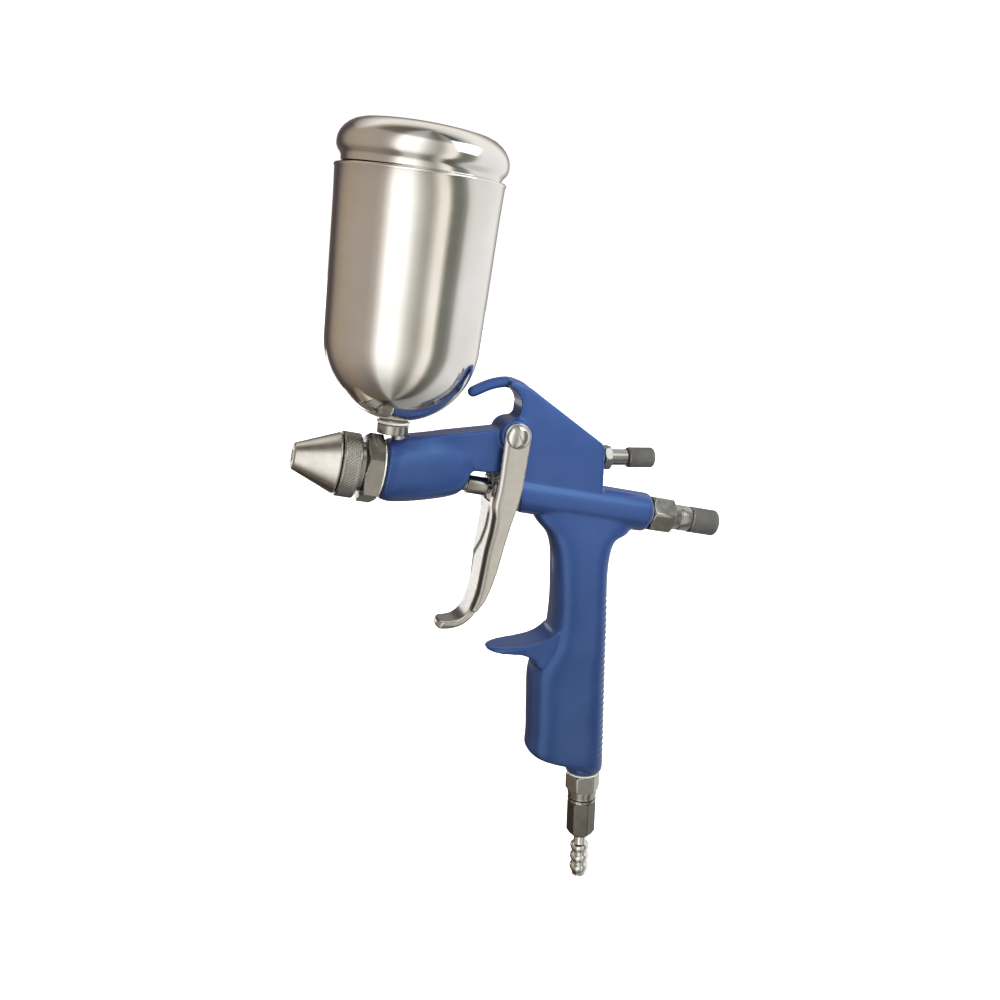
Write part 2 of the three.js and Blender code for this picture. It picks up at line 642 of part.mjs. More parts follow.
// Push-in lid: a plug inside the rim, a waist above it, then a rounded bead and a low dome.
// Heights are above the seat.
const lidFrame = new THREE.Group();
lidFrame.position.x = LID_SEAT;
lidFrame.rotation.y = radians(LID_TILT);
cupFrame.add(lidFrame);

function lid() {
  const top = LID_TOP - LID_SEAT;
  const outside = [
    [-2.4, 25.9], [2.5, 25.9], [3.2, 26.6], [4.8, 26.8], [6.6, 28.2],
    [9, LID_BEAD_RADIUS], [12, 28.1], [14.9, 26.3], [17.2, 22.4], [top, 8], [top, 0],
  ];
  const inside = [
    [top - 1, 0], [top - 1, 8], [16.2, 21.9], [13.3, 26], [9.2, 27.7],
    [6, 26.2], [2, 24.9], [-2.4, 24.9],
  ];
  const vent = drill([12, 0, 18], [24, 0, 18], 0.9, 10);
  return cut(turned([...outside, ...inside], FINE), vent);
}
add('cup_lid', lid(), polishedAluminium, lidFrame);
add('lid_gasket', tube(-0.6, 1.2, 26.2, 26.9, FINE), blackRubber, lidFrame);

// ---- air inlet and hose barb, in the handle's own frame --------------------------------------------------

add('adapter_seal', tube(1.5, 2.1, 5.6, 6.6), whiteSeal, inletFrame);
add('inlet_adapter', cut(
  join(rod(-9.5, 3, 5.3), hexBar(2.4, 9.6, 6.9, 1), turned([
    [9, 0], [9, 6.6], [12.2, 5.7], [13, 5.7], [13, 0],
  ]), rod(12, 19.6, 3.9)), rod(-10, 20, 2)), nickel, inletFrame);
add('union_seal', tube(13.3, 14.4, 4.2, 5.7), nickel, inletFrame);
add('union_nut', cut(
  join(hexBar(14.7, 28.6, 5.7, 0.6), turned([[28, 0], [28, 4.7], [30, 3.6], [30, 0]])),
  rod(14, 25.4, 4.2), rod(25, 31, 2.8)), darkSteel, inletFrame);

// The barb has three beads, each rising slowly from the tip and falling off steeply behind.
function hoseBarb() {
  const beads = [];
  for (let i = 0; i < 3; i++) {
    const start = 33.8 + 4.6 * i;
    beads.push([start, 2.5], [start + 0.5, 3.6], [start + 2, 3.8], [start + 4.2, 2.7]);
  }
  return cut(turned([
    [20, 0], [20, 3.8], [24.8, 3.8], [25, 2.5], ...beads, [FITTING_LENGTH, 2.7],
    [FITTING_LENGTH, 0],
  ]), rod(19, FITTING_LENGTH + 1, 1.5, COARSE));
}
add('hose_barb', hoseBarb(), chrome, inletFrame);

export default gun;
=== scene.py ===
"""Looks of a small gravity-feed airbrush gun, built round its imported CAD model.

Shapes are drawn in millimetres in the gun's own frames (X along each axis) and placed
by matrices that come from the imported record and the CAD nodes' boxes.
"""

import json
import math

import bmesh
import bpy
import numpy as np
from mathutils import Matrix, Vector


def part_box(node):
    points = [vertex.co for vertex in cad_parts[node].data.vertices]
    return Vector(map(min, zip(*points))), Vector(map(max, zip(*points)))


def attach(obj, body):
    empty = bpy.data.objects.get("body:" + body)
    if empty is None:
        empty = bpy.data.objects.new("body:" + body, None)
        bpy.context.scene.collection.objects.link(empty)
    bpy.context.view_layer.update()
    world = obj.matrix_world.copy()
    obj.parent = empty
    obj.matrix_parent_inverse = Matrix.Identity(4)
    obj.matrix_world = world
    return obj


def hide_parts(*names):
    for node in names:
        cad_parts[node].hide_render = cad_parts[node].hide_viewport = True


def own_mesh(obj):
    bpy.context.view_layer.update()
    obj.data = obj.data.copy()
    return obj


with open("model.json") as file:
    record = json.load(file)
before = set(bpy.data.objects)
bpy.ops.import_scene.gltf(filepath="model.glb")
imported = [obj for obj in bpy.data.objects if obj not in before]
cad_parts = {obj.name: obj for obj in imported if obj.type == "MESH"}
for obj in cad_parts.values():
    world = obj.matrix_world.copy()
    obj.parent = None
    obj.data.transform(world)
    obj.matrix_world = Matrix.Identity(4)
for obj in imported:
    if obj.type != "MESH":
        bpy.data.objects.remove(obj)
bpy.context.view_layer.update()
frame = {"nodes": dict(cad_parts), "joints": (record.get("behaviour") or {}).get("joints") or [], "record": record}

MM = 0.001
scene = bpy.context.scene
joints = {j["name"]: j for j in frame["joints"]}
mounts = {m["name"]: m for m in frame["record"]["mounts"]}

# ---- frames --------------------------------------------------------------------------

CAP_TIP_X = -35.3
CAP_BASE_X = -20
RING_REAR_X = -13.1
HEX_FRONT_X = -11.3
HEX_REAR_X = -5.3
BODY_FRONT_X = -4.2
PIVOT_X = 39.5
PIVOT_Z = 21
BARREL_RADIUS = 7.4
BARREL_END_X = 100
HOUSING_END_X = 117.3
FLUID_KNOB_END_X = 129.2
INLET_STUB_X = 0.3
CUP_BASE_X = -1.6
CUP_BOTTOM = 18.2
CUP_SHOULDER = 46
CUP_RADIUS = 26.6
CUP_RIM = 101
CUP_RIM_RADIUS = 28.2
CUP_WALL = 0.9
LID_TOP_OVER_SEAT = 18.7
FITTING_LENGTH = 48.2
TRIGGER_HALF_WIDTH = 9.5
TRIGGER_SHEET = 1.3


def frame_along(origin, direction):
    """A matrix with its X along direction and its origin there, for a direction in the
    middle plane or straight across the gun."""
    x = Vector(direction).normalized()
    across = Vector((0, 1, 0)) if abs(x.y) < 0.5 else Vector((0, 0, 1))
    z = x.cross(across).normalized()
    y = z.cross(x)
    matrix = Matrix((x, y, z)).transposed().to_4x4()
    matrix.translation = Vector(origin)
    return matrix


needle_low, needle_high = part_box("fluid_needle")
cap_low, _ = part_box("air_cap")
GUN = Matrix.Translation(
    (cap_low.x - CAP_TIP_X * MM, 0, (needle_low.z + needle_high.z) / 2)
)


def in_gun(x, z, y=0):
    """A point of the gun's own frame, given in millimetres, in the row frame."""
    return GUN @ Vector((x * MM, y * MM, z * MM))


CUP = frame_along(in_gun(CUP_BASE_X, 0), joints["lid_lift"]["axis"])
lid_axis = Vector(mounts["lid_top"]["axis"])
LID = frame_along(
    Vector(mounts["lid_top"]["pos_m"]) - lid_axis * LID_TOP_OVER_SEAT * MM, lid_axis
)
AIR = frame_along(joints["air_knob_turn"]["pos_m"], joints["air_knob_turn"]["axis"])
inlet_axis = Vector(mounts["hose_end"]["axis"])
hose_x, _, hose_z = mounts["hose_end"]["pos_m"]
INLET = frame_along(
    Vector((hose_x, 0, hose_z)) - inlet_axis * FITTING_LENGTH * MM, inlet_axis
)
PIVOT_NEAR = frame_along(in_gun(PIVOT_X, PIVOT_Z), (0, -1, 0))
PIVOT_FAR = frame_along(in_gun(PIVOT_X, PIVOT_Z), (0, 1, 0))

# ---- camera, first, so that everything is judged from one place ----------------------

VIEW_AZIMUTH = math.radians(-19.165)
VIEW_ELEVATION = math.radians(10.678)
VIEW_ROLL = math.radians(12.6)
VIEW_TARGET = Vector((0.007285, 0, -0.040464))
VIEW_DISTANCE = 0.4
SENSOR = 36
FOCAL_OVER_WIDTH = 1.1

view_back = Vector(
    (
        math.sin(VIEW_AZIMUTH) * math.cos(VIEW_ELEVATION),
        -math.cos(VIEW_AZIMUTH) * math.cos(VIEW_ELEVATION),
        math.sin(VIEW_ELEVATION),
    )
)
view_right = Vector((math.cos(VIEW_AZIMUTH), math.sin(VIEW_AZIMUTH), 0))


def make_camera():
    up = view_back.cross(view_right)
    right = view_right * math.cos(VIEW_ROLL) + up * math.sin(VIEW_ROLL)
    up = up * math.cos(VIEW_ROLL) - view_right * math.sin(VIEW_ROLL)
    matrix = Matrix((right, up, view_back)).transposed().to_4x4()
    matrix.translation = VIEW_TARGET + view_back * VIEW_DISTANCE
    data = bpy.data.cameras.new("camera")
    data.sensor_width = SENSOR
    data.lens = SENSOR * FOCAL_OVER_WIDTH
    camera = bpy.data.objects.new("camera", data)
    scene.collection.objects.link(camera)
    camera.matrix_world = matrix
    scene.camera = camera


make_camera()

# ---- materials -----------------------------------------------------------------------


def srgb(red, green, blue):
    """A colour given as 0 to 255 screen values, as the linear colour that nodes use."""
    return tuple(
        c / 12.92 if c <= 0.04045 else ((c + 0.055) / 1.055) ** 2.4
        for c in (red / 255, green / 255, blue / 255)
    ) + (1,)


class Surface:
    """A Principled material and the few node helpers that every finish here uses."""

    def __init__(self, name, colour, roughness, metallic=0.0, **sockets):
        self.material = bpy.data.materials.new(name)
        self.material.use_nodes = True
        self.nodes = self.material.node_tree.nodes
        self.links = self.material.node_tree.links
        self.shader = self.nodes["Principled BSDF"]
        self.shader.inputs["Base Color"].default_value = colour
        self.shader.inputs["Roughness"].default_value = roughness
        self.shader.inputs["Metallic"].default_value = metallic
        for socket, value in sockets.items():
            self.shader.inputs[socket.replace("_", " ")].default_value = value
        self.roughness = roughness
        self.colour = colour
        self.bump_normal = None

    def noise(self, per_mm, detail=3.0, stretch=(1, 1, 1)):
        """Noise in the piece's own coordinates, per_mm grains to the millimetre."""
        place = self.nodes.new("ShaderNodeTexCoord")
        mapping = self.nodes.new("ShaderNodeMapping")
        mapping.inputs["Scale"].default_value = tuple(
            s * per_mm / MM for s in stretch
        )
        noise = self.nodes.new("ShaderNodeTexNoise")
        noise.inputs["Scale"].default_value = 1
        noise.inputs["Detail"].default_value = detail
        self.links.new(place.outputs["Object"], mapping.inputs["Vector"])
        self.links.new(mapping.outputs["Vector"], noise.inputs["Vector"])
        return noise.outputs["Fac"]

    def ranged(self, value, low, high):
        """value, from 0.3 to 0.7 as noise mostly is, mapped to low and high."""
        node = self.nodes.new("ShaderNodeMapRange")
        node.inputs["From Min"].default_value = 0.3
        node.inputs["From Max"].default_value = 0.7
        node.inputs["To Min"].default_value = low
        node.inputs["To Max"].default_value = high
        self.links.new(value, node.inputs["Value"])
        return node.outputs["Result"]

    def vary_roughness(self, value, spread):
        result = self.ranged(value, self.roughness - spread, self.roughness + spread)
        self.links.new(result, self.shader.inputs["Roughness"])
        return self

    def vary_colour(self, value, other):
        mix = self.nodes.new("ShaderNodeMix")
        mix.data_type = "RGBA"
        mix.inputs["A"].default_value = self.colour
        mix.inputs["B"].default_value = other
        self.links.new(self.ranged(value, 0, 1), mix.inputs["Factor"])
        self.links.new(mix.outputs["Result"], self.shader.inputs["Base Color"])
        return self

    def bump(self, value, height_mm, strength=1.0):
        node = self.nodes.new("ShaderNodeBump")
        node.inputs["Strength"].default_value = strength
        node.inputs["Distance"].default_value = height_mm * MM
        self.links.new(value, node.inputs["Height"])
        if self.bump_normal is not None:
            self.links.new(self.bump_normal, node.inputs["Normal"])
        self.bump_normal = node.outputs["Normal"]
        self.links.new(self.bump_normal, self.shader.inputs["Normal"])
        return self


TURNED = (6, 0.15, 0.15)  # marks of a lathe run round the piece


def metal(name, colour, roughness, tint, spread=0.04, lines=0.0006, per_mm=1.2):
    """A turned or drawn metal: faint stains, uneven polish and fine lines round its axis."""
    surface = Surface(name, colour, roughness, 1.0)
    surface.vary_colour(surface.noise(0.12, 4), tint)
    surface.vary_roughness(surface.noise(0.4, 5), spread)
    surface.bump(surface.noise(per_mm, 2, TURNED), lines)
    return surface.material


def chrome_with_painted_shade():
    """The trigger's chrome, with painted shade darkening it along the sheet's bends and its pressed line."""
    surface = Surface("chrome_painted_shade", srgb(204, 202, 197), 0.22, 1.0)
    surface.vary_roughness(surface.noise(0.4, 4), 0.04)
    surface.bump(surface.noise(0.25, 3), 0.012)
    painted_shade = surface.nodes.new("ShaderNodeAttribute")
    painted_shade.attribute_name = "painted_shade"
    mix = surface.nodes.new("ShaderNodeMix")
    mix.data_type = "RGBA"
    mix.inputs["A"].default_value = surface.colour
    # painted shade: the dark grey that the bends and the pressed line are darkened to
    mix.inputs["B"].default_value = srgb(84, 82, 76)
    surface.links.new(painted_shade.outputs["Fac"], mix.inputs["Factor"])
    surface.links.new(mix.outputs["Result"], surface.shader.inputs["Base Color"])
    return surface.material


def blue_paint():
    surface = Surface(
        "body_paint",
        srgb(32, 47, 95),
        0.34,
        Specular_IOR_Level=1.0,
        Specular_Tint=(0.2, 0.58, 1, 1),
        Coat_Weight=0.45,
        Coat_Roughness=0.1,
        Coat_IOR=1.4,
    )
    surface.vary_colour(surface.noise(0.07, 4), srgb(40, 55, 103))
    surface.vary_roughness(surface.noise(0.5, 5), 0.05)
    surface.bump(surface.noise(1.1, 3), 0.008)
    surface.bump(surface.noise(0.12, 2), 0.06)
    return surface.material


def spun_aluminium():
    surface = Surface("polished_aluminium", srgb(236, 236, 233), 0.11, 1.0)
    surface.vary_colour(surface.noise(0.05, 3), srgb(226, 224, 217))
    surface.vary_roughness(surface.noise(0.3, 5, (1, 0.4, 0.4)), 0.035)
    surface.bump(surface.noise(0.9, 3, TURNED), 0.0012)
    surface.bump(surface.noise(0.035, 2, (0.35, 1, 1)), 0.05)
    return surface.material


def rubber():
    surface = Surface("black_rubber", srgb(26, 26, 27), 0.8)
    surface.vary_roughness(surface.noise(2, 4), 0.08)
    surface.bump(surface.noise(3, 3), 0.01)
    return surface.material


def seal_plastic():
    surface = Surface("white_seal", srgb(226, 223, 214), 0.55)
    surface.vary_colour(surface.noise(0.3, 3), srgb(210, 206, 194))
    surface.bump(surface.noise(1.5, 3), 0.006)
    return surface.material


CHROME_WITH_PAINTED_SHADE = chrome_with_painted_shade()
MATERIALS = {
    "body_paint": blue_paint(),
    "polished_aluminium": spun_aluminium(),
    "satin_steel": metal("satin_steel", srgb(214, 211, 204), 0.26, srgb(196, 192, 184)),
    "nickel": metal("nickel", srgb(180, 178, 173), 0.22, srgb(160, 158, 153)),
    "chrome": metal("chrome", srgb(226, 226, 223), 0.1, srgb(212, 212, 208), 0.03),
    "dark_steel": metal("dark_steel", srgb(118, 117, 108), 0.4, srgb(98, 97, 89)),
    "grey_metal": metal("grey_metal", srgb(140, 140, 138), 0.42, srgb(120, 120, 118)),
    "spring_steel": metal("spring_steel", srgb(176, 176, 172), 0.3, srgb(150, 150, 146)),
    "brass": metal("brass", srgb(201, 164, 82), 0.28, srgb(176, 138, 66)),
    "black_rubber": rubber(),
    "white_seal": seal_plastic(),
}

for subpart in frame["record"]["subparts"]:
    slots = frame["nodes"][subpart["node"]].data.materials
    slots.clear()
    slots.append(MATERIALS[subpart["material_slot"]])

# ---- mesh helpers --------------------------------------------------------------------

SEGMENTS = 96
SHARP = math.radians(38)


def object_from(bm, name, matrix=Matrix.Identity(4)):
    bmesh.ops.recalc_face_normals(bm, faces=bm.faces)
    mesh = bpy.data.meshes.new(name)
    bm.to_mesh(mesh)
    bm.free()
    thing = bpy.data.objects.new(name, mesh)
    scene.collection.objects.link(thing)
    thing.matrix_world = matrix
    return thing


def applied(thing):
    """The same object with its modifiers turned into mesh."""
    evaluated = thing.evaluated_get(bpy.context.evaluated_depsgraph_get())
    mesh = bpy.data.meshes.new_from_object(evaluated)
    thing.modifiers.clear()
    old = thing.data
    thing.data = mesh
    bpy.data.meshes.remove(old)
    return thing


def boolean(thing, tool, operation="DIFFERENCE"):
    """thing cut by tool, joined to it or kept only inside it; tool is used up."""
    modifier = thing.modifiers.new("boolean", "BOOLEAN")
    modifier.object = tool
    modifier.operation = operation
    modifier.solver = "MANIFOLD"
    applied(thing)
    bpy.data.objects.remove(tool)
    return thing


def finish(thing, slot, body, *nodes, sharp=SHARP, material=None):
    """Shades a piece, gives it its finish, and lets it stand for its CAD nodes."""
    mesh = thing.data
    mesh.materials.clear()
    mesh.materials.append(material or MATERIALS[slot])
    mesh.shade_smooth()
    mesh.set_sharp_from_angle(angle=sharp)
    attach(thing, body)
    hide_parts(*nodes)
    return thing


def kind_of(point):
    """What lathe() does at a profile point: "hex", "knurl", or nothing special."""
    return point[2] if len(point) > 2 else ""


def rounded(profile, radius=0.25, steps=3):
    """A closed profile of (x, r, kind) points with its plain corners rounded off."""
    points = [(p[0], p[1], kind_of(p)) for p in profile]
    out = []
    for i, (x, r, kind) in enumerate(points):
        if r <= 0 or kind:
            out.append((x, r, kind))
            continue
        corner = Vector((x, r))
        before = Vector(points[i - 1][:2]) - corner
        after = Vector(points[(i + 1) % len(points)][:2]) - corner
        cut = min(radius, 0.45 * before.length, 0.45 * after.length)
        start = corner + before.normalized() * cut
        end = corner + after.normalized() * cut
        for k in range(steps + 1):
            t = k / steps
            p = start * (1 - t) ** 2 + corner * 2 * t * (1 - t) + end * t * t
            out.append((p.x, p.y, ""))
    return out


def hexed(x0, x1, corner, chamfer=0.8, steps=5):
    """Profile points of a hexagon with turned-down corners; corner is its largest radius."""
    flat = corner * math.cos(math.pi / 6)
    up = [k / steps for k in range(steps + 1)]
    rise = [(x0 + chamfer * t, flat + (corner - flat) * t, "hex") for t in up]
    fall = [(x1 - chamfer * t, flat + (corner - flat) * t, "hex") for t in up[::-1]]
    return rise + fall


def knurled(x0, x1, r, count):
    """Profile points of a band that lathe() cuts into diamonds."""
    return [(x0 + (x1 - x0) * k / count, r, "knurl") for k in range(count + 1)]


def sawtooth(value):
    """0 in the grooves and 1 midway between them."""
    return 1 - abs(2 * (value % 1) - 1)


KNURL_FADE = 0.3  # millimetres over which the grooves run out at a band's edges


def lathe(name, profile, matrix, segments=SEGMENTS, knurls=40, depth=0.3, turn=0.0):
    """A piece turned about its frame's X axis. A hexagon's corners come from its largest
    radius, and a knurled band has crossed grooves of that depth, knurls to a turn."""
    hexes = [p[1] for p in profile if kind_of(p) == "hex"]
    flat = max(hexes, default=0) * math.cos(math.pi / 6)
    bands = [p[0] for p in profile if kind_of(p) == "knurl"]
    low, high = (min(bands), max(bands)) if bands else (0, 1)
    bm = bmesh.new()
    rings = []
    for point in profile:
        x, r = point[:2]
        kind = kind_of(point)
        if r <= 0:
            rings.append([bm.verts.new((x * MM, 0, 0))])
            continue
        ring = []
        for i in range(segments):
            angle = 2 * math.pi * i / segments
            radius = r
            if kind == "hex":
                side = (angle + turn) % (math.pi / 3) - math.pi / 6
                radius = min(r, flat / math.cos(side))
            if kind == "knurl":
                pitch = 2 * math.pi * r / knurls
                around = knurls * angle / (2 * math.pi)
                across = x / pitch
                height = min(sawtooth(around + across), sawtooth(around - across))
                edge = min(x - low, high - x) / KNURL_FADE
                radius = r - depth * (1 - min(1, 1.5 * height)) * min(1, edge)
            y = radius * math.cos(angle)
            z = radius * math.sin(angle)
            ring.append(bm.verts.new((x * MM, y * MM, z * MM)))
        rings.append(ring)
    for a, b in zip(rings, rings[1:] + rings[:1]):
        for i in range(segments):
            j = (i + 1) % segments
            corners = [a[i % len(a)], a[j % len(a)], b[j % len(b)], b[i % len(b)]]
            loop = [v for k, v in enumerate(corners) if v is not corners[k - 1]]
            if len(set(loop)) > 2:
                bm.faces.new(loop)
    return object_from(bm, name, matrix)


def turned(name, profile, matrix, slot, body, node, sharp=SHARP, **shape):
    """A lathe's piece, finished, that stands for one CAD node."""
    finish(lathe(name, profile, matrix, **shape), slot, body, node, sharp=sharp)


def outline(*steps):
    """Points of a flat outline: (x, z) is a corner, (cx, cz, x, z) a curve to x, z."""
    points = []
    for step in steps:
        if len(step) == 2:
            points.append(Vector(step))
            continue
        start, middle, end = points[-1], Vector(step[:2]), Vector(step[2:])
        for k in range(1, 9):
            t = k / 8
            points.append(start * (1 - t) ** 2 + middle * 2 * t * (1 - t) + end * t * t)
    return points


def prism(points, half, axis="y"):
    """A slab over an outline: seen from the side, from the front (x) or from above (z)."""
    bm = bmesh.new()
    low, high = half if isinstance(half, tuple) else (-half, half)

    def place(point, depth):
        u, v = point
        return {"x": (depth, u, v), "y": (u, depth, v), "z": (u, v, depth)}[axis]

    front = [bm.verts.new(Vector(place(p, low)) * MM) for p in points]
    back = [bm.verts.new(Vector(place(p, high)) * MM) for p in points]
    bm.faces.new(front)
    bm.faces.new(back[::-1])
    for i in range(len(points)):
        j = (i + 1) % len(points)
        bm.faces.new((front[i], front[j], back[j], back[i]))
    bmesh.ops.triangulate(bm, faces=[f for f in bm.faces if len(f.verts) > 4])
    return object_from(bm, "slab")


def spline(points, per_span=5):
    """Catmull-Rom points through rows of numbers."""
    rows = np.array(points, float)
    rows = np.vstack([2 * rows[0] - rows[1], rows, 2 * rows[-1] - rows[-2]])
    out = []
    for i in range(1, len(rows) - 2):
        a, b, c, d = rows[i - 1 : i + 3]
        for k in range(per_span):
            t = k / per_span
            point = 2 * b + (c - a) * t + (2 * a - 5 * b + 4 * c - d) * t * t
            out.append(0.5 * (point + (3 * b - a - 3 * c + d) * t**3))
    return out + [rows[-2]]


def skin(bm, loops):
    """Faces from each loop of points to the next, and one over each end."""
    for a, b in zip(loops, loops[1:]):
        for i in range(len(a)):
            j = (i + 1) % len(a)
            bm.faces.new((a[i], a[j], b[j], b[i]))
    bm.faces.new(loops[0])
    bm.faces.new(loops[-1][::-1])


def loft(rings, front_power, rear_power, facets=72):
    """A skin over rings of (front x, front z, rear x, rear z, half width, how much narrower
    the rear end is); a lower power gives a squarer front or rear half."""
    bm = bmesh.new()
    loops = []
    for fx, fz, rx, rz, half, taper in spline(rings):
        middle = Vector(((fx + rx) / 2, 0, (fz + rz) / 2))
        reach = Vector(((rx - fx) / 2, 0, (rz - fz) / 2))
        loop = []
        for i in range(facets):
            c = math.cos(2 * math.pi * i / facets)
            s = math.sin(2 * math.pi * i / facets)
            power = front_power if c < 0 else rear_power
            along = math.copysign(abs(c) ** power, c)
            across = math.copysign(abs(s) ** power, s) * (1 - taper * (1 + along) / 2)
            point = middle + reach * along + Vector((0, half * across, 0))
            loop.append(bm.verts.new(point * MM))
        loops.append(loop)
    skin(bm, loops)
    return object_from(bm, "loft")


def bar(route, radius, facets=24):
    """A round bar along points (x, z), with a ball at its far end."""
    bm = bmesh.new()
    points = [Vector((x, 0, z)) for x, z in spline(route)]
    loops = []
    for i, point in enumerate(points):
        ahead = points[min(i + 1, len(points) - 1)] - points[max(i - 1, 0)]
        across = ahead.normalized().cross(Vector((0, 1, 0)))
        loop = []
        for k in range(facets):
            angle = 2 * math.pi * k / facets
            offset = across * math.cos(angle) + Vector((0, math.sin(angle), 0))
            loop.append(bm.verts.new((point + offset * radius) * MM))
        loops.append(loop)
    skin(bm, loops)
    ball = bmesh.ops.create_uvsphere(
        bm, u_segments=facets, v_segments=16, radius=radius * MM
    )
    bmesh.ops.translate(bm, verts=ball["verts"], vec=points[-1] * MM)
    return object_from(bm, "bar")


def rod(x0, x1, radius, matrix=Matrix.Identity(4), segments=48):
    return lathe("rod", [(x0, 0), (x0, radius), (x1, radius), (x1, 0)], matrix, segments)


def joined(things, name):
    """Several meshes as one, in the frame that they stand in."""
    bm = bmesh.new()
    for thing in things:
        mesh = thing.data.copy()
        mesh.transform(thing.matrix_world)
        bm.from_mesh(mesh)
        bpy.data.meshes.remove(mesh)
        bpy.data.objects.remove(thing)
    mesh = bpy.data.meshes.new(name)
    bm.to_mesh(mesh)
    bm.free()
    thing = bpy.data.objects.new(name, mesh)
    scene.collection.objects.link(thing)
    return thing


SMOOTHING = 0.6  # how far a point moves towards its neighbours in one pass


def cast(thing, voxel_mm, passes, soft=None, soft_passes=0):
    """One skin over overlapping solids, with its edges and inner corners softened, and
    more so where soft(points in mm) is above 0."""
    modifier = thing.modifiers.new("skin", "REMESH")
    modifier.mode = "VOXEL"
    modifier.voxel_size = voxel_mm * MM
    applied(thing)
    mesh = thing.data
    count = len(mesh.vertices)
    points = np.empty(count * 3)
    mesh.vertices.foreach_get("co", points)
    points = points.reshape(-1, 3)
    edges = np.empty(len(mesh.edges) * 2, int)
    mesh.edges.foreach_get("vertices", edges)
    a, b = edges.reshape(-1, 2).T
    degree = np.bincount(np.concatenate([a, b]), minlength=count)[:, None]
    weight = soft(points / MM)[:, None] if soft else 0
    for turn in range(passes + soft_passes):
        total = np.empty_like(points)
        for k in range(3):
            total[:, k] = np.bincount(a, points[b, k], count) + np.bincount(
                b, points[a, k], count
            )
        strength = SMOOTHING if turn < passes else SMOOTHING * weight
        points = points + strength * (total / degree - points)
    mesh.vertices.foreach_set("co", points.ravel())
    mesh.update()
    return thing


# ---- body ----------------------------------------------------------------------------

RIB_PITCH = 2.4
RIB_DEPTH = 0.55
RIB_TOP_Z = -33
RIB_BOTTOM_Z = -99
RIB_HALF_WIDTH = 9
RIB_REACH = 4  # how far in front of the rear line they can start
RIB_FADE = 1.5  # how soon they reach full depth at the top and bottom

HANDLE = [
    (51, -2, 95, -2, 6.2, 0),
    (56.8, -9.2, 93, -8.4, 6.8, 0),
    (62, -13.4, 88.6, -12, 7.2, 0),
    (65.2, -18.9, 87.6, -18.2, 7.8, 0),
    (67.7, -28, 88.8, -28, 8.6, 0),
    (70.5, -41, 91.8, -41, 9.3, 0),
    (71.4, -55, 94.8, -55, 9.7, 0),
    (67.8, -66, 97.4, -66, 9.8, 0),
    (70.2, -80, 100.6, -80, 9.8, 0),
    (72.9, -92.4, 103.6, -93, 9.6, 0),
    (73.9, -98.9, 105.5, -101.2, 9.2, 0),
    (76.9, -101.5, 105.9, -104, 8.5, 0),
    (80.6, -102.2, 105.3, -104.7, 7.6, 0),
]
HEAD = [
    (BODY_FRONT_X, -9.7, BODY_FRONT_X, 10.9, 10.3, 0),
    (0, -10.4, 0, 12.6, 10.6, 0.05),
    (8, -9.1, 8, 15.2, 10.2, 0.2),
    (16, -7.1, 16, 17.2, 9.4, 0.32),
    (22, -5.1, 22, 18.7, 8.5, 0.4),
    (25.4, -2.9, 25.4, 19.3, 7.6, 0.42),
    (27, 1, 27, 19.5, 6, 0.4),
]


def plate():
    return prism(
        outline(
            (-3, 4), (1.7, 13.4), (30.7, 21.4), (37.4, 22.4), (40.6, 27.6, 40.1, 31.6),
            (39.2, 36, 34, 37.4), (34, 39.6), (40, 39.9, 45.4, 36.8), (73, 23.8),
            (75, 23, 75.3, 20.5), (78.2, 6), (78.2, 0), (45.8, 0), (43.6, 6.9),
            (26, 5.4), (20, -3),
        ),
        5.5,
    )


def rear_barrel():
    barrel = lathe(
        "barrel",
        [
            (42, 0), (42, BARREL_RADIUS), (BARREL_END_X - 1.4, BARREL_RADIUS),
            (BARREL_END_X, BARREL_RADIUS - 1.2), (BARREL_END_X, 0),
        ],
        Matrix.Identity(4),
    )
    slant = prism(outline((40, 7.6), (43.6, 7.6), (48.4, -8), (40, -8)), 12)
    return boolean(barrel, slant)


def finger_rest():
    side = prism(
        outline(
            (76, -49), (72, -49.4), (69.4, -54.6, 60, -56.8), (50.4, -59),
            (48, -59.6, 48.2, -60.5), (49, -61.5, 58, -60.2), (65.8, -59.2, 68, -64),
            (76, -66),
        ),
        8,
    )
    top = prism(
        outline(
            (80, -7.6), (62, -7.6), (47.9, -6.6, 47.9, 0), (47.9, 6.6, 62, 7.6),
            (80, 7.6),
        ),
        (-80, -40),
        axis="z",
    )
    return boolean(side, top, "INTERSECT")


def rib_back_strap(thing):
    """Fine ribs across the back of the handle, where the palm lies."""
    mesh = thing.data
    rows = np.array([(f[3], f[2]) for f in HANDLE])[::-1]
    inverse = GUN.inverted()
    slope = (rows[-4, 1] - rows[3, 1]) / (rows[-4, 0] - rows[3, 0])
    normals = [vertex.normal.copy() for vertex in mesh.vertices]
    for vertex, normal in zip(mesh.vertices, normals):
        x, y, z = (inverse @ vertex.co) / MM
        if not RIB_BOTTOM_Z < z < RIB_TOP_Z or abs(y) > RIB_HALF_WIDTH:
            continue
        rear = np.interp(z, rows[:, 0], rows[:, 1])
        behind = normal.x
        if behind < 0.15 or rear - x > RIB_REACH:
            continue
        along = z + (x - rear) * slope
        groove = 0.5 + 0.5 * math.cos(2 * math.pi * along / RIB_PITCH)
        ends = min(z - RIB_BOTTOM_Z, RIB_TOP_Z - z) / RIB_FADE
        side = 1 - (abs(y) / RIB_HALF_WIDTH) ** 6
        depth = RIB_DEPTH * groove**2 * min(1, ends) * side * min(1, behind * 1.5)
        vertex.co -= normal * depth * MM


def beside_head(points):
    """1 on the flanks where the round head runs into the flat plate, 0 away from them."""
    x, y, z = points.T
    inside = np.minimum(np.minimum(x, 30 - x) / 4, np.minimum(z - 3, 17 - z) / 3)
    return np.clip(np.minimum(inside, np.abs(y) - 3.5), 0, 1)


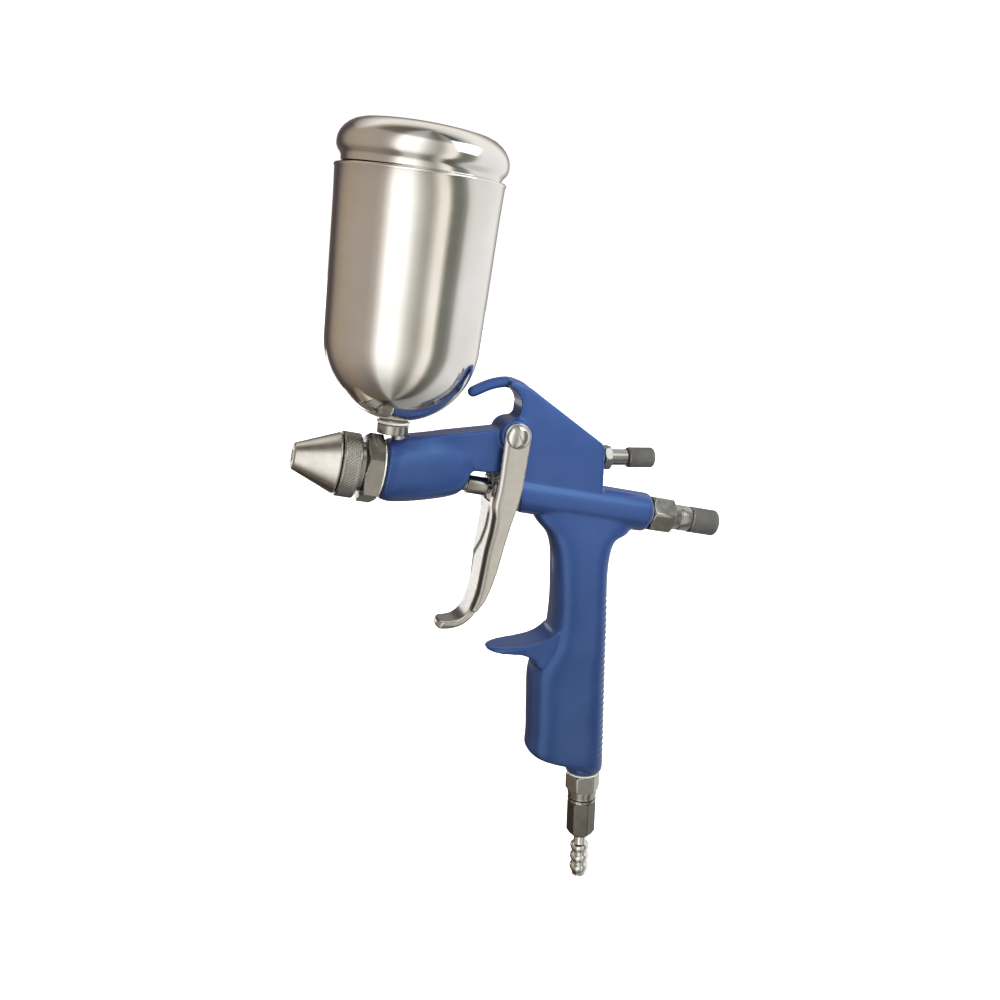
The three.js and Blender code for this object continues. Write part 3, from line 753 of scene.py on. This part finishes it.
BORES = [
    # from, to, radius, along
    (-5.2, 28, 4.9, GUN),  # nozzle and packing
    (40, 48.2, 5.6, GUN),  # air valve's head
    (48, 62, 4.9, GUN),  # air valve's gland
    (61, 101, 5.9, GUN),  # springs and adjuster
    (-12, 1, 3.5, AIR),  # air control's gland
    (-20, -11, 1.9, AIR),  # air control's tip
    (-11, 2, 5.6, INLET),  # hose fitting
    (-12, 12, 3.7, PIVOT_NEAR),  # trigger's bush
    (13, 22, 6, CUP),  # cup's collar
]


def body():
    shell = joined(
        [
            plate(),
            bar([(42, 36.4), (39, 37.8), (34, 38.5), (28.4, 36.6), (22.6, 32.9)], 2.1),
            loft(HEAD, 0.86, 0.86),
            rear_barrel(),
            loft(HANDLE, 0.66, 0.5),
            finger_rest(),
            rod(-7.7, 7.7, 5.6, GUN.inverted() @ PIVOT_NEAR),
            rod(-9, 1.2, 7.2, GUN.inverted() @ INLET),
        ],
        "gun_body_cast",
    )
    cast(shell, voxel_mm=0.47, passes=8, soft=beside_head, soft_passes=48)
    shell.data.transform(GUN)
    rib_back_strap(shell)
    for start, end, radius, axis in BORES:
        boolean(shell, rod(start, end, radius, axis))
    finish(shell, "body_paint", "gun", "gun_body", sharp=math.radians(50))


body()

# ---- spray head ----------------------------------------------------------------------

turned(
    "air_cap_cone",
    rounded(
        [
            (CAP_TIP_X, 1.9), (CAP_TIP_X, 4.3), (CAP_TIP_X + 0.4, 4.7),
            (CAP_BASE_X - 0.5, 10.72), (CAP_BASE_X + 0.1, 10.5),
            (CAP_BASE_X + 0.1, 9.7), (-13.4, 9.7), (-13.4, 8.8), (-16.7, 8.8),
            (-16.9, 8), (CAP_BASE_X, 7.9), (-33.4, 1.9),
        ],
        0.3,
    ),
    GUN,
    "satin_steel",
    "gun",
    "air_cap",
)
turned(
    "cap_ring_knurled",
    [
        (CAP_BASE_X + 0.4, 10), (CAP_BASE_X + 0.4, 10.9), (CAP_BASE_X + 0.55, 11.2),
        (CAP_BASE_X + 0.85, 11.4),
        *knurled(CAP_BASE_X + 1.2, RING_REAR_X - 1.1, 11.4, 34),
        (RING_REAR_X - 0.6, 11.4), (RING_REAR_X - 0.2, 11.25), (RING_REAR_X, 10.9),
        (RING_REAR_X, 10),
    ],
    GUN,
    "nickel",
    "gun",
    "cap_ring",
    sharp=math.radians(60),
    segments=440,
    knurls=55,
    depth=0.14,
)
turned(
    "head_fitting_hex",
    rounded(
        [
            (-16.4, 4), (-16.4, 8.5), (HEX_FRONT_X, 8.5),
            *hexed(HEX_FRONT_X, HEX_REAR_X, 12.7, 0.7),
            (HEX_REAR_X, 4.6), (8.2, 4.6), (8.2, 2.4), (-8, 2.4), (-8, 4),
        ]
    ),
    GUN,
    "nickel",
    "gun",
    "head_fitting",
    segments=120,
    turn=math.radians(24),
)

# ---- parts behind the trigger and behind the body ------------------------------------

turned(
    "packing_nut_turned",
    rounded(
        [
            (16, 1.3), (16, 2.6), (27.3, 2.6), (27.3, 3.3), (34.6, 3.3), (35, 2.7),
            (36.6, 2.4), (36.6, 1.3),
        ]
    ),
    GUN,
    "nickel",
    "gun",
    "packing_nut",
    segments=48,
)
VALVE_FACE_X = 37.8
CROWN = 9  # radius of the valve's domed face
turned(
    "air_valve_head",
    rounded(
        [
            (VALVE_FACE_X, 1.3),
            *[
                (VALVE_FACE_X + CROWN - math.sqrt(CROWN**2 - r * r), r)
                for r in (1.6, 2.5, 3.4, 4.2, 5.2)
            ],
            (40.5, 5.2), (40.5, 2.6), (62.2, 2.6), (62.2, 4.6), (65, 4.6), (65, 2.8),
            (70, 2.8), (70, 1.3),
        ],
        0.2,
    ),
    GUN,
    "chrome",
    "air_valve",
    "air_valve_stem",
    segments=64,
)
turned(
    "adjuster_housing_hex",
    rounded(
        [
            (92, 3.9), (92, 5.6), (100.3, 5.6),
            *hexed(100.3, 109.5, 7.3, 0.8),
            (109.7, 4.8), (112.4, 4.8), (112.6, 4.5), (113, 4.5), (113.2, 4.8),
            (HOUSING_END_X, 4.8), (HOUSING_END_X, 3.9),
        ]
    ),
    GUN,
    "nickel",
    "gun",
    "adjuster_housing",
    turn=math.radians(10),
)


def knob(name, start, end, radius, matrix, socket_radius, count, slot, body, node):
    """A knurled knob with smooth ends, a dished face and a socket in front."""
    turned(
        name,
        [
            (start, socket_radius), (start, radius - 0.5), (start + 0.15, radius - 0.3),
            (start + 0.7, radius),
            *knurled(start + 0.9, end - 1, radius, 64),
            (end - 0.7, radius - 0.05), (end - 0.25, radius - 0.35),
            (end, radius - 0.8), (end, radius * 0.5), (end - 0.35, radius * 0.42),
            (end - 0.35, 0), (start + 1, 0), (start + 1, socket_radius),
        ],
        matrix,
        slot,
        body,
        node,
        sharp=math.radians(60),
        segments=8 * count,
        knurls=count,
        depth=0.28,
    )


turned(
    "air_gland_hex",
    rounded(
        [
            (-7.2, 2), (-7.2, 3.2), (0.3, 3.2),
            *hexed(0.3, 3.2, 4.75, 0.5, 4),
            (3.4, 3), (9.8, 3), (9.8, 2),
        ],
        0.2,
    ),
    AIR,
    "nickel",
    "gun",
    "air_control_gland",
    segments=72,
)

# ---- trigger: a pressed sheet bent round both sides ----------------------------------

FRONT_LINE = [
    # height, front of the sheet, back of the arms, half width
    (-45.2, 36.9, 39.8, 7.1),
    (-38, 37.9, 42.9, 7.5),
    (-30, 37.6, 43.6, 8.1),
    (-22, 37.2, 43.8, 8.7),
    (-15, 37.3, 44.1, 9.3),
    (-9, 37, 44.7, 9.5),
    (-4.4, 36.1, 45.3, 9.5),
    (4, 36, 45.7, 9.5),
    (27, 34, 46.6, 9.5),
]
BEND_RADIUS = 2.3


def u_section(inset, rear_to):
    """The trigger's outside, or with an inset its hollow, as a loft of round-cornered
    sections going up."""
    bm = bmesh.new()
    loops = []
    for z, front, back, half in spline(FRONT_LINE, 4):
        half -= inset
        front += inset
        back = back if rear_to is None else rear_to
        radius = max(0.6, BEND_RADIUS - inset)
        near = [(back, -half)]
        for k in range(9):
            angle = math.pi / 2 * k / 8
            x = front + radius - radius * math.sin(angle)
            y = -half + radius - radius * math.cos(angle)
            near.append((x, y))
        section = near + [(x, -y) for x, y in reversed(near)]
        loops.append([bm.verts.new(Vector((x, y, z)) * MM) for x, y in section])
    skin(bm, loops)
    return object_from(bm, "section")


def trigger_side():
    """The side outline of the arms and grip."""
    top = [
        Vector((39.7 + 5 * math.cos(a), PIVOT_Z + 5 * math.sin(a)))
        for a in np.radians(np.linspace(200, -5, 28))
    ]
    below = outline(
        (45.8, 0), (43.9, -12, 43.8, -24), (43.4, -40, 39.6, -46), (34, -46), (34, 4),
        (34.7, 19),
    )
    return prism(top + below, 14)


def trigger_foot():
    """The curled tongue at the bottom."""
    curl = prism(
        outline(
            (43.4, -36), (42.4, -42, 39.6, -46), (36.8, -53.4, 29.4, -54.4),
            (26.4, -54.7, 26.7, -52.7), (27, -50.9, 29.8, -50.9),
            (35, -50.4, 36.9, -45.2), (37.6, -42, 37.8, -38),
        ),
        14,
    )
    front = prism(
        outline(
            (-5.7, -30), (-5.7, -46), (-5.5, -56, 0, -56), (5.5, -56, 5.7, -46),
            (5.7, -30),
        ),
        (10, 60),
        axis="x",
    )
    above = prism(
        outline(
            (60, -5.8), (32, -5.8), (26.5, -5.6, 26.5, 0), (26.5, 5.6, 32, 5.8),
            (60, 5.8),
        ),
        (-60, -30),
        axis="z",
    )
    boolean(curl, front, "INTERSECT")
    return boolean(curl, above, "INTERSECT")


# A pressed crease runs up the trigger's front, from the far bend to the middle.
CREASE = [(-44, 6.2), (-27, 5.8), (-20, -0.6), (-14, -2.7), (-6, -3.4)]
CREASE_DEPTH = 0.35
CREASE_WIDTH = 1.2
CREASE_ENDS = (-47, -5)


def press_and_paint_shade(mesh):
    """Presses the pressed line in, and writes painted shade along the bends and along that line for its material.
    """
    inverse = GUN.inverted()
    rows = np.array(FRONT_LINE)
    line = np.array(CREASE)
    shade_layer = mesh.attributes.new("painted_shade", "FLOAT", "POINT")
    middle = BEND_RADIUS * (1 - math.cos(math.pi / 4))
    for vertex in mesh.vertices:
        x, y, z = (inverse @ vertex.co) / MM
        behind = x - np.interp(z, rows[:, 0], rows[:, 1])
        beside = abs(y) - np.interp(z, rows[:, 0], rows[:, 3])
        ends = min(1, max(0, min(z - CREASE_ENDS[0], CREASE_ENDS[1] - z) / 4))
        # painted shade: a dark band along the near and far bends of the sheet
        shade_at_bend = 1.7 - math.hypot(behind - middle, beside + middle) / 0.8
        crease_and_shade = 0
        if behind < 0.9:
            off = (y - np.interp(z, line[:, 0], line[:, 1])) / CREASE_WIDTH
            crease_and_shade = math.exp(-off * off) * ends
            vertex.co += Vector((CREASE_DEPTH * crease_and_shade * MM, 0, 0))
        # the value written is painted shade, strongest at the bends and along the pressed line
        value = max(shade_at_bend * ends, crease_and_shade)
        shade_layer.data[vertex.index].value = min(1, max(0, value))


def in_foot(points):
    """1 in the tongue at the bottom and 0 above it."""
    return points[:, 2] < -48


PIVOT_HOLE_RADIUS = 2.3


def trigger():
    arms = boolean(u_section(0, None), trigger_side(), "INTERSECT")
    hollow = u_section(TRIGGER_SHEET, 60)
    above_foot = prism([(20, -44), (60, -44), (60, 40), (20, 40)], 14)
    boolean(arms, boolean(hollow, above_foot, "INTERSECT"))
    between_arms = TRIGGER_HALF_WIDTH - TRIGGER_SHEET
    boolean(arms, prism([(20, 3.4), (60, 3.4), (60, 40), (20, 40)], between_arms))
    needle_window = prism([(30, -4.4), (42, -4.4), (42, 8), (30, 8)], 3.9)
    boolean(arms, needle_window)
    behind_sheet = prism([(38.2, -44), (38.8, -36), (60, -36), (60, -44)], 6)
    foot = boolean(trigger_foot(), behind_sheet)
    sheet = joined([arms, foot], "trigger_pressed")
    cast(sheet, voxel_mm=0.27, passes=5, soft=in_foot, soft_passes=14)
    sheet.data.transform(GUN)
    boolean(sheet, rod(-14, 14, PIVOT_HOLE_RADIUS, PIVOT_NEAR))
    press_and_paint_shade(sheet.data)
    finish(
        sheet,
        "chrome",
        "trigger",
        "trigger",
        sharp=math.radians(50),
        material=CHROME_WITH_PAINTED_SHADE,
    )


trigger()


PIVOT_HEAD_RADIUS = 4.2
PIVOT_HEAD_EDGE = 0.6
PIVOT_HEAD_CROWN = 1.5


def pivot_head(name, matrix, node, body, shank):
    """A domed and slotted head lying on the trigger's arm."""
    face = TRIGGER_HALF_WIDTH + 0.3
    dome = []
    for k in range(9):
        angle = math.pi / 2 * k / 8
        height = PIVOT_HEAD_EDGE + PIVOT_HEAD_CROWN * math.cos(angle)
        dome.append((face + height, PIVOT_HEAD_RADIUS * math.sin(angle)))
    if shank:
        start = [(-10.7, 0), (-10.7, 2), (face, 2)]
    else:
        start = [(face, PIVOT_HOLE_RADIUS)]
        dome[0] = (dome[0][0], 0)
    profile = [*start, (face, PIVOT_HEAD_RADIUS), *dome[::-1]]
    if not shank:
        profile += [(face + 1, 0), (face + 1, PIVOT_HOLE_RADIUS)]
    head = lathe(name, profile, matrix, 64)
    slot = prism([(-6, -0.45), (6, -0.45), (6, 0.45), (-6, 0.45)], (face + 1.3, face + 4), "x")
    slot.data.transform(Matrix.Rotation(math.radians(35), 4, "X"))
    slot.matrix_world = matrix
    boolean(head, slot)
    finish(head, "chrome", body, node)


pivot_head("pivot_screw_domed", PIVOT_NEAR, "trigger_pivot_screw", "gun", True)
pivot_head("pivot_nut_domed", PIVOT_FAR, "trigger_pivot_nut", "gun", False)

# ---- knobs ---------------------------------------------------------------------------

knob("fluid_knob_knurled", HOUSING_END_X + 0.3, FLUID_KNOB_END_X, 5, GUN, 3.6, 28,
     "grey_metal", "fluid_knob", "fluid_knob")
knob("air_knob_knurled", 10.1, 20.6, 3.8, AIR, 1.7, 24,
     "grey_metal", "air_control_knob", "air_control_knob")

# ---- cup and lid ---------------------------------------------------------------------


def bowl(radius, depth, count=18):
    """Half an ellipse from near the axis up to the shoulder."""
    points = []
    for k in range(count):
        angle = math.radians(11 + 79 * k / (count - 1))
        x = CUP_SHOULDER - depth * math.cos(angle)
        points.append((x, radius * math.sin(angle)))
    return points


def cup():
    depth = CUP_SHOULDER - CUP_BOTTOM
    outside = bowl(CUP_RADIUS, depth)
    inside = bowl(CUP_RADIUS - CUP_WALL, depth - CUP_WALL)[::-1]
    lip = CUP_RIM_RADIUS - CUP_WALL / 2
    rim = [
        (CUP_RIM - 0.75 + 0.75 * math.sin(a), lip + 0.1 + 0.75 * math.cos(a))
        for a in np.radians([-50, -25, 0, 30, 60, 90, 120, 150, 180, 205])
    ]
    profile = [
        (CUP_BOTTOM, 4.6),
        *outside,
        *[(CUP_SHOULDER + 11 * k, CUP_RADIUS + 0.32 * k) for k in (1, 2, 3, 4)],
        *rim,
        *[(CUP_SHOULDER + 11 * k, CUP_RADIUS - CUP_WALL + 0.32 * k) for k in (4, 3, 2, 1)],
        *inside,
        (CUP_BOTTOM + CUP_WALL, 4.6),
    ]
    turned("cup_spun", profile, CUP, "polished_aluminium", "gun", "cup", segments=160)


def lid():
    top = LID_TOP_OVER_SEAT
    outside = [
        (-2.4, 25.6), (-2.2, 25.9), (2.5, 25.9), (2.9, 26.5), (3.4, 26.65),
        (4.6, 26.75), (5.5, 27.2), (6.4, 28), (7.6, 28.55), (9, 28.7), (10.6, 28.55),
        (12.2, 27.95), (13.8, 26.9), (15.2, 25.5), (16.4, 23.6), (17.1, 21.6),
        (17.5, 19.2), (17.9, 16), (18.4, 11.5), (top, 7.5), (top, 0),
    ]
    inside = [
        (top - 1, 0), (top - 1, 8), (16.5, 19), (15.4, 23.2), (13.3, 26), (9.2, 27.7),
        (6.6, 27), (5, 25.8), (2, 24.9), (-2.2, 24.9), (-2.4, 25.2),
    ]
    shell = lathe("cup_lid_pressed", outside + inside, LID, segments=160)
    vent = rod(12, 24, 0.9, Matrix.Translation((0, 0, 18 * MM)), 24)
    vent.matrix_world = LID @ vent.matrix_world
    boolean(shell, vent)
    finish(shell, "polished_aluminium", "lid", "cup_lid")


def nipple():
    """The collar that leans with the cup, on a stub that goes straight down."""
    leaning = lathe(
        "collar",
        rounded(
            [
                (13.4, 2), (13.4, 5.5), (16.8, 5.5), (16.8, 4.3), (21.6, 4.3),
                (21.6, 3), (15, 3), (15, 2),
            ],
            0.4,
        ),
        CUP,
        segments=72,
    )
    stub = lathe(
        "stub",
        [(6, 2), (6, 3.2), (14, 3.2), (14, 2)],
        frame_along(in_gun(INLET_STUB_X, 0), (0, 0, 1)),
        segments=48,
    )
    finish(joined([leaning, stub], "inlet_nipple_turned"), "nickel", "gun", "inlet_nipple")
    gasket = [(17.1, 4.6), (17.1, 5.7), (17.5, 5.9), (17.9, 5.7), (17.9, 4.6)]
    turned("cup_gasket_round", gasket, CUP, "white_seal", "gun", "cup_gasket", segments=72)


nipple()
cup()
lid()

# ---- hose fitting --------------------------------------------------------------------

turned(
    "inlet_adapter_hex",
    rounded(
        [
            (-9.5, 2), (-9.5, 5.3), (2.4, 5.3),
            *hexed(2.4, 9.6, 6.9, 0.9),
            (9.7, 6), (12.2, 5.6), (13, 5.6), (13, 3.9), (19.6, 3.9), (19.6, 2),
        ]
    ),
    INLET,
    "nickel",
    "gun",
    "inlet_adapter",
    turn=math.radians(20),
)
turned(
    "union_nut_hex",
    rounded(
        [
            (14.7, 4.2),
            *hexed(14.7, 28.6, 5.7, 0.6),
            (28.8, 4.6), (30, 3.6), (30, 2.8), (25.4, 2.8), (25.4, 4.2),
        ]
    ),
    INLET,
    "dark_steel",
    "gun",
    "union_nut",
    turn=math.radians(8),
)


def barb():
    beads = []
    for i in range(3):
        start = 33.8 + 4.6 * i
        beads += [
            (start, 2.5), (start + 0.4, 3.5), (start + 1, 3.8), (start + 2, 3.75),
            (start + 3.1, 3.3), (start + 4.2, 2.7),
        ]
    profile = [(20, 1.5), (20, 3.8), (24.8, 3.8), (25, 2.5), *beads]
    profile += [(FITTING_LENGTH, 2.7), (FITTING_LENGTH, 1.5)]
    shape = rounded(profile, 0.3)
    turned("hose_barb_turned", shape, INLET, "chrome", "gun", "hose_barb", segments=64)


barb()

# ---- springs, each with a mesh of its own --------------------------------------------


def shortens(node):
    """Gives a CAD spring its own copy of its mesh."""
    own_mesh(frame["nodes"][node])


shortens("air_valve_spring")
shortens("needle_spring")

# ---- floor, lights and the plain studio around it ------------------------------------

FLOOR_Z = -0.7
FLOOR_SIZE = 60


def floor():
    bm = bmesh.new()
    bmesh.ops.create_grid(bm, x_segments=8, y_segments=8, size=FLOOR_SIZE / 2)
    ground = object_from(bm, "floor", Matrix.Translation((0, 0, FLOOR_Z)))
    surface = Surface("pale_floor", srgb(252, 252, 252), 0.9)
    surface.vary_roughness(surface.noise(0.01, 2), 0.03)
    surface.shader.inputs["Emission Color"].default_value = (1, 1, 1, 1)
    surface.shader.inputs["Emission Strength"].default_value = 0.7
    ground.data.materials.append(surface.material)
    ground.visible_glossy = False
    ground.visible_diffuse = False


floor()


def mirrored(normal):
    """Where the camera looks to when a surface with this normal mirrors it."""
    normal = Vector(normal).normalized()
    return 2 * normal.dot(view_back) * normal - view_back


def soft_light(name, target, direction, distance, size, radiance, colour=(1, 1, 1)):
    """A softbox of a given brightness, aimed at a point from the direction given."""
    direction = Vector(direction).normalized()
    data = bpy.data.lights.new(name, "AREA")
    data.shape = "RECTANGLE"
    data.size, data.size_y = size
    data.energy = radiance * math.pi * size[0] * size[1]
    data.color = colour
    light = bpy.data.objects.new(name, data)
    scene.collection.objects.link(light)
    light.matrix_world = Matrix.Translation(
        target + direction * distance
    ) @ direction.to_track_quat("Z", "Y").to_matrix().to_4x4()
    light.visible_camera = False
    return light


# One lights the back barrel's upper side, one the front of the trigger; the third only
# brightens the paint of the upper part.
soft_light(
    "key_softbox",
    target=in_gun(66, 6),
    direction=mirrored((0, -0.83, 0.56)),
    distance=0.3,
    size=(0.16, 0.2),
    radiance=1.8,
    colour=(0.88, 0.95, 1),
)
soft_light(
    "trigger_card",
    target=in_gun(37, -24),
    direction=mirrored((-1, 0, 0)),
    distance=0.25,
    size=(0.1, 0.12),
    radiance=1.3,
)
fill = soft_light(
    "plate_fill",
    target=in_gun(56, 22),
    direction=(0.2, -1, 0.7),
    distance=0.13,
    size=(0.1, 0.1),
    radiance=8.5,
)
fill.visible_glossy = False

# What polished metal sees round the horizon, from the camera's left round to its right:
# windows and pale walls with darker gaps between them, as (angle, colour).
ROUND_THE_ROOM = [
    (-180, (118, 112, 108)), (-160, (104, 96, 91)), (-151, (80, 72, 70)),
    (-134, (66, 58, 57)), (-126, (90, 80, 76)), (-115, (128, 116, 104)),
    (-100, (144, 130, 115)), (-75, (148, 136, 126)), (-50, (146, 138, 130)),
    (-40, (162, 153, 146)), (-33, (205, 198, 194)), (-26, (253, 250, 247)),
    (-3, (253, 252, 250)), (5, (222, 221, 216)), (11, (190, 188, 182)),
    (20, (160, 156, 149)), (27, (150, 146, 138)), (33, (176, 171, 163)),
    (40, (216, 210, 203)), (49, (222, 216, 208)), (54, (150, 147, 137)),
    (58, (106, 105, 98)), (68, (104, 104, 98)), (76, (128, 127, 122)),
    (83, (190, 189, 187)), (92, (203, 202, 203)), (150, (208, 206, 205)),
    (168, (130, 126, 123)), (180, (118, 112, 108)),
]
# How bright the room is from straight below (0) to straight above (1): in front, where
# the ceiling over the camera is dark, and behind the gun.
FRONT_BRIGHTNESS = [
    (0.0, 0.34), (0.05, 0.42), (0.12, 0.66), (0.22, 0.92), (0.35, 1.0), (0.82, 1.0),
    (0.89, 0.42), (1.0, 0.3),
]
BACK_BRIGHTNESS = [
    (0.0, 0.34), (0.1, 0.5), (0.3, 0.95), (0.4, 1.0), (0.9, 1.1), (1.0, 0.9),
]
# Where the front's values give way to the rear's, as a share of straight ahead, and
# where the rear's pale ceiling starts, on the scale of height above.
FRONT_FROM = (-0.25, 0.1)
CEILING_FROM = (0.72, 0.88)
PALE_CEILING = (206, 202, 197)
ROOM_BRIGHTNESS = 1.5
OPEN_SHADE = 1.5  # the even light that falls on matt surfaces
BACKDROP = 1.04


def room():
    world = bpy.data.worlds.new("room")
    scene.world = world
    world.use_nodes = True
    nodes, links = world.node_tree.nodes, world.node_tree.links
    nodes.clear()
    direction = nodes.new("ShaderNodeTexCoord").outputs["Generated"]

    def along(vector):
        dot = nodes.new("ShaderNodeVectorMath")
        dot.operation = "DOT_PRODUCT"
        dot.inputs[1].default_value = vector
        links.new(direction, dot.inputs[0])
        return dot.outputs["Value"]

    def between(value, low, high):
        node = nodes.new("ShaderNodeMapRange")
        node.inputs["From Min"].default_value = low
        node.inputs["From Max"].default_value = high
        links.new(value, node.inputs["Value"])
        return node.outputs["Result"]

    def ramp(value, stops):
        node = nodes.new("ShaderNodeValToRGB")
        elements = node.color_ramp.elements
        elements[0].position, elements[0].color = stops[0]
        elements[1].position, elements[1].color = stops[-1]
        for position, colour in stops[1:-1]:
            elements.new(position).color = colour
        links.new(value, node.inputs["Fac"])
        return node.outputs["Color"]

    ahead = Vector((view_back.x, view_back.y, 0)).normalized()
    angle = nodes.new("ShaderNodeMath")
    angle.operation = "ARCTAN2"
    links.new(along(view_right), angle.inputs[0])
    links.new(along(ahead), angle.inputs[1])
    turn = between(angle.outputs["Value"], -math.pi, math.pi)
    rise = between(along((0, 0, 1)), -1, 1)

    horizon = ramp(turn, [((a + 180) / 360, srgb(*c)) for a, c in ROUND_THE_ROOM])
    in_front = between(along(ahead), *FRONT_FROM)
    height = nodes.new("ShaderNodeMix")
    height.data_type = "RGBA"
    links.new(in_front, height.inputs["Factor"])
    for socket, values in (("A", BACK_BRIGHTNESS), ("B", FRONT_BRIGHTNESS)):
        stops = [(p, (v, v, v, 1)) for p, v in values]
        links.new(ramp(rise, stops), height.inputs[socket])
    from_behind = nodes.new("ShaderNodeMath")
    from_behind.operation = "SUBTRACT"
    from_behind.use_clamp = True
    links.new(between(rise, *CEILING_FROM), from_behind.inputs[0])
    links.new(in_front, from_behind.inputs[1])
    colour = nodes.new("ShaderNodeMix")
    colour.data_type = "RGBA"
    colour.inputs["B"].default_value = srgb(*PALE_CEILING)
    links.new(from_behind.outputs["Value"], colour.inputs["Factor"])
    links.new(horizon, colour.inputs["A"])
    shaded = nodes.new("ShaderNodeMix")
    shaded.data_type = "RGBA"
    shaded.blend_type = "MULTIPLY"
    shaded.inputs["Factor"].default_value = 1
    links.new(colour.outputs["Result"], shaded.inputs["A"])
    links.new(height.outputs["Result"], shaded.inputs["B"])

    around = nodes.new("ShaderNodeBackground")
    around.inputs["Strength"].default_value = ROOM_BRIGHTNESS
    links.new(shaded.outputs["Result"], around.inputs["Color"])
    plain = nodes.new("ShaderNodeBackground")
    plain.inputs["Strength"].default_value = BACKDROP
    plain.inputs["Color"].default_value = (1, 1, 1, 1)
    shade = nodes.new("ShaderNodeBackground")
    shade.inputs["Strength"].default_value = OPEN_SHADE
    links.new(
        ramp(rise, [(0, (0.5, 0.5, 0.5, 1)), (1, (1, 1, 1, 1))]),
        shade.inputs["Color"],
    )
    path = nodes.new("ShaderNodeLightPath")
    shader = around.outputs["Background"]
    for ray, background in (("Is Diffuse Ray", shade), ("Is Camera Ray", plain)):
        mix = nodes.new("ShaderNodeMixShader")
        links.new(path.outputs[ray], mix.inputs["Fac"])
        links.new(shader, mix.inputs[1])
        links.new(background.outputs["Background"], mix.inputs[2])
        shader = mix.outputs["Shader"]
    output = nodes.new("ShaderNodeOutputWorld")
    links.new(shader, output.inputs["Surface"])


room()
scene.view_settings.view_transform = "Standard"
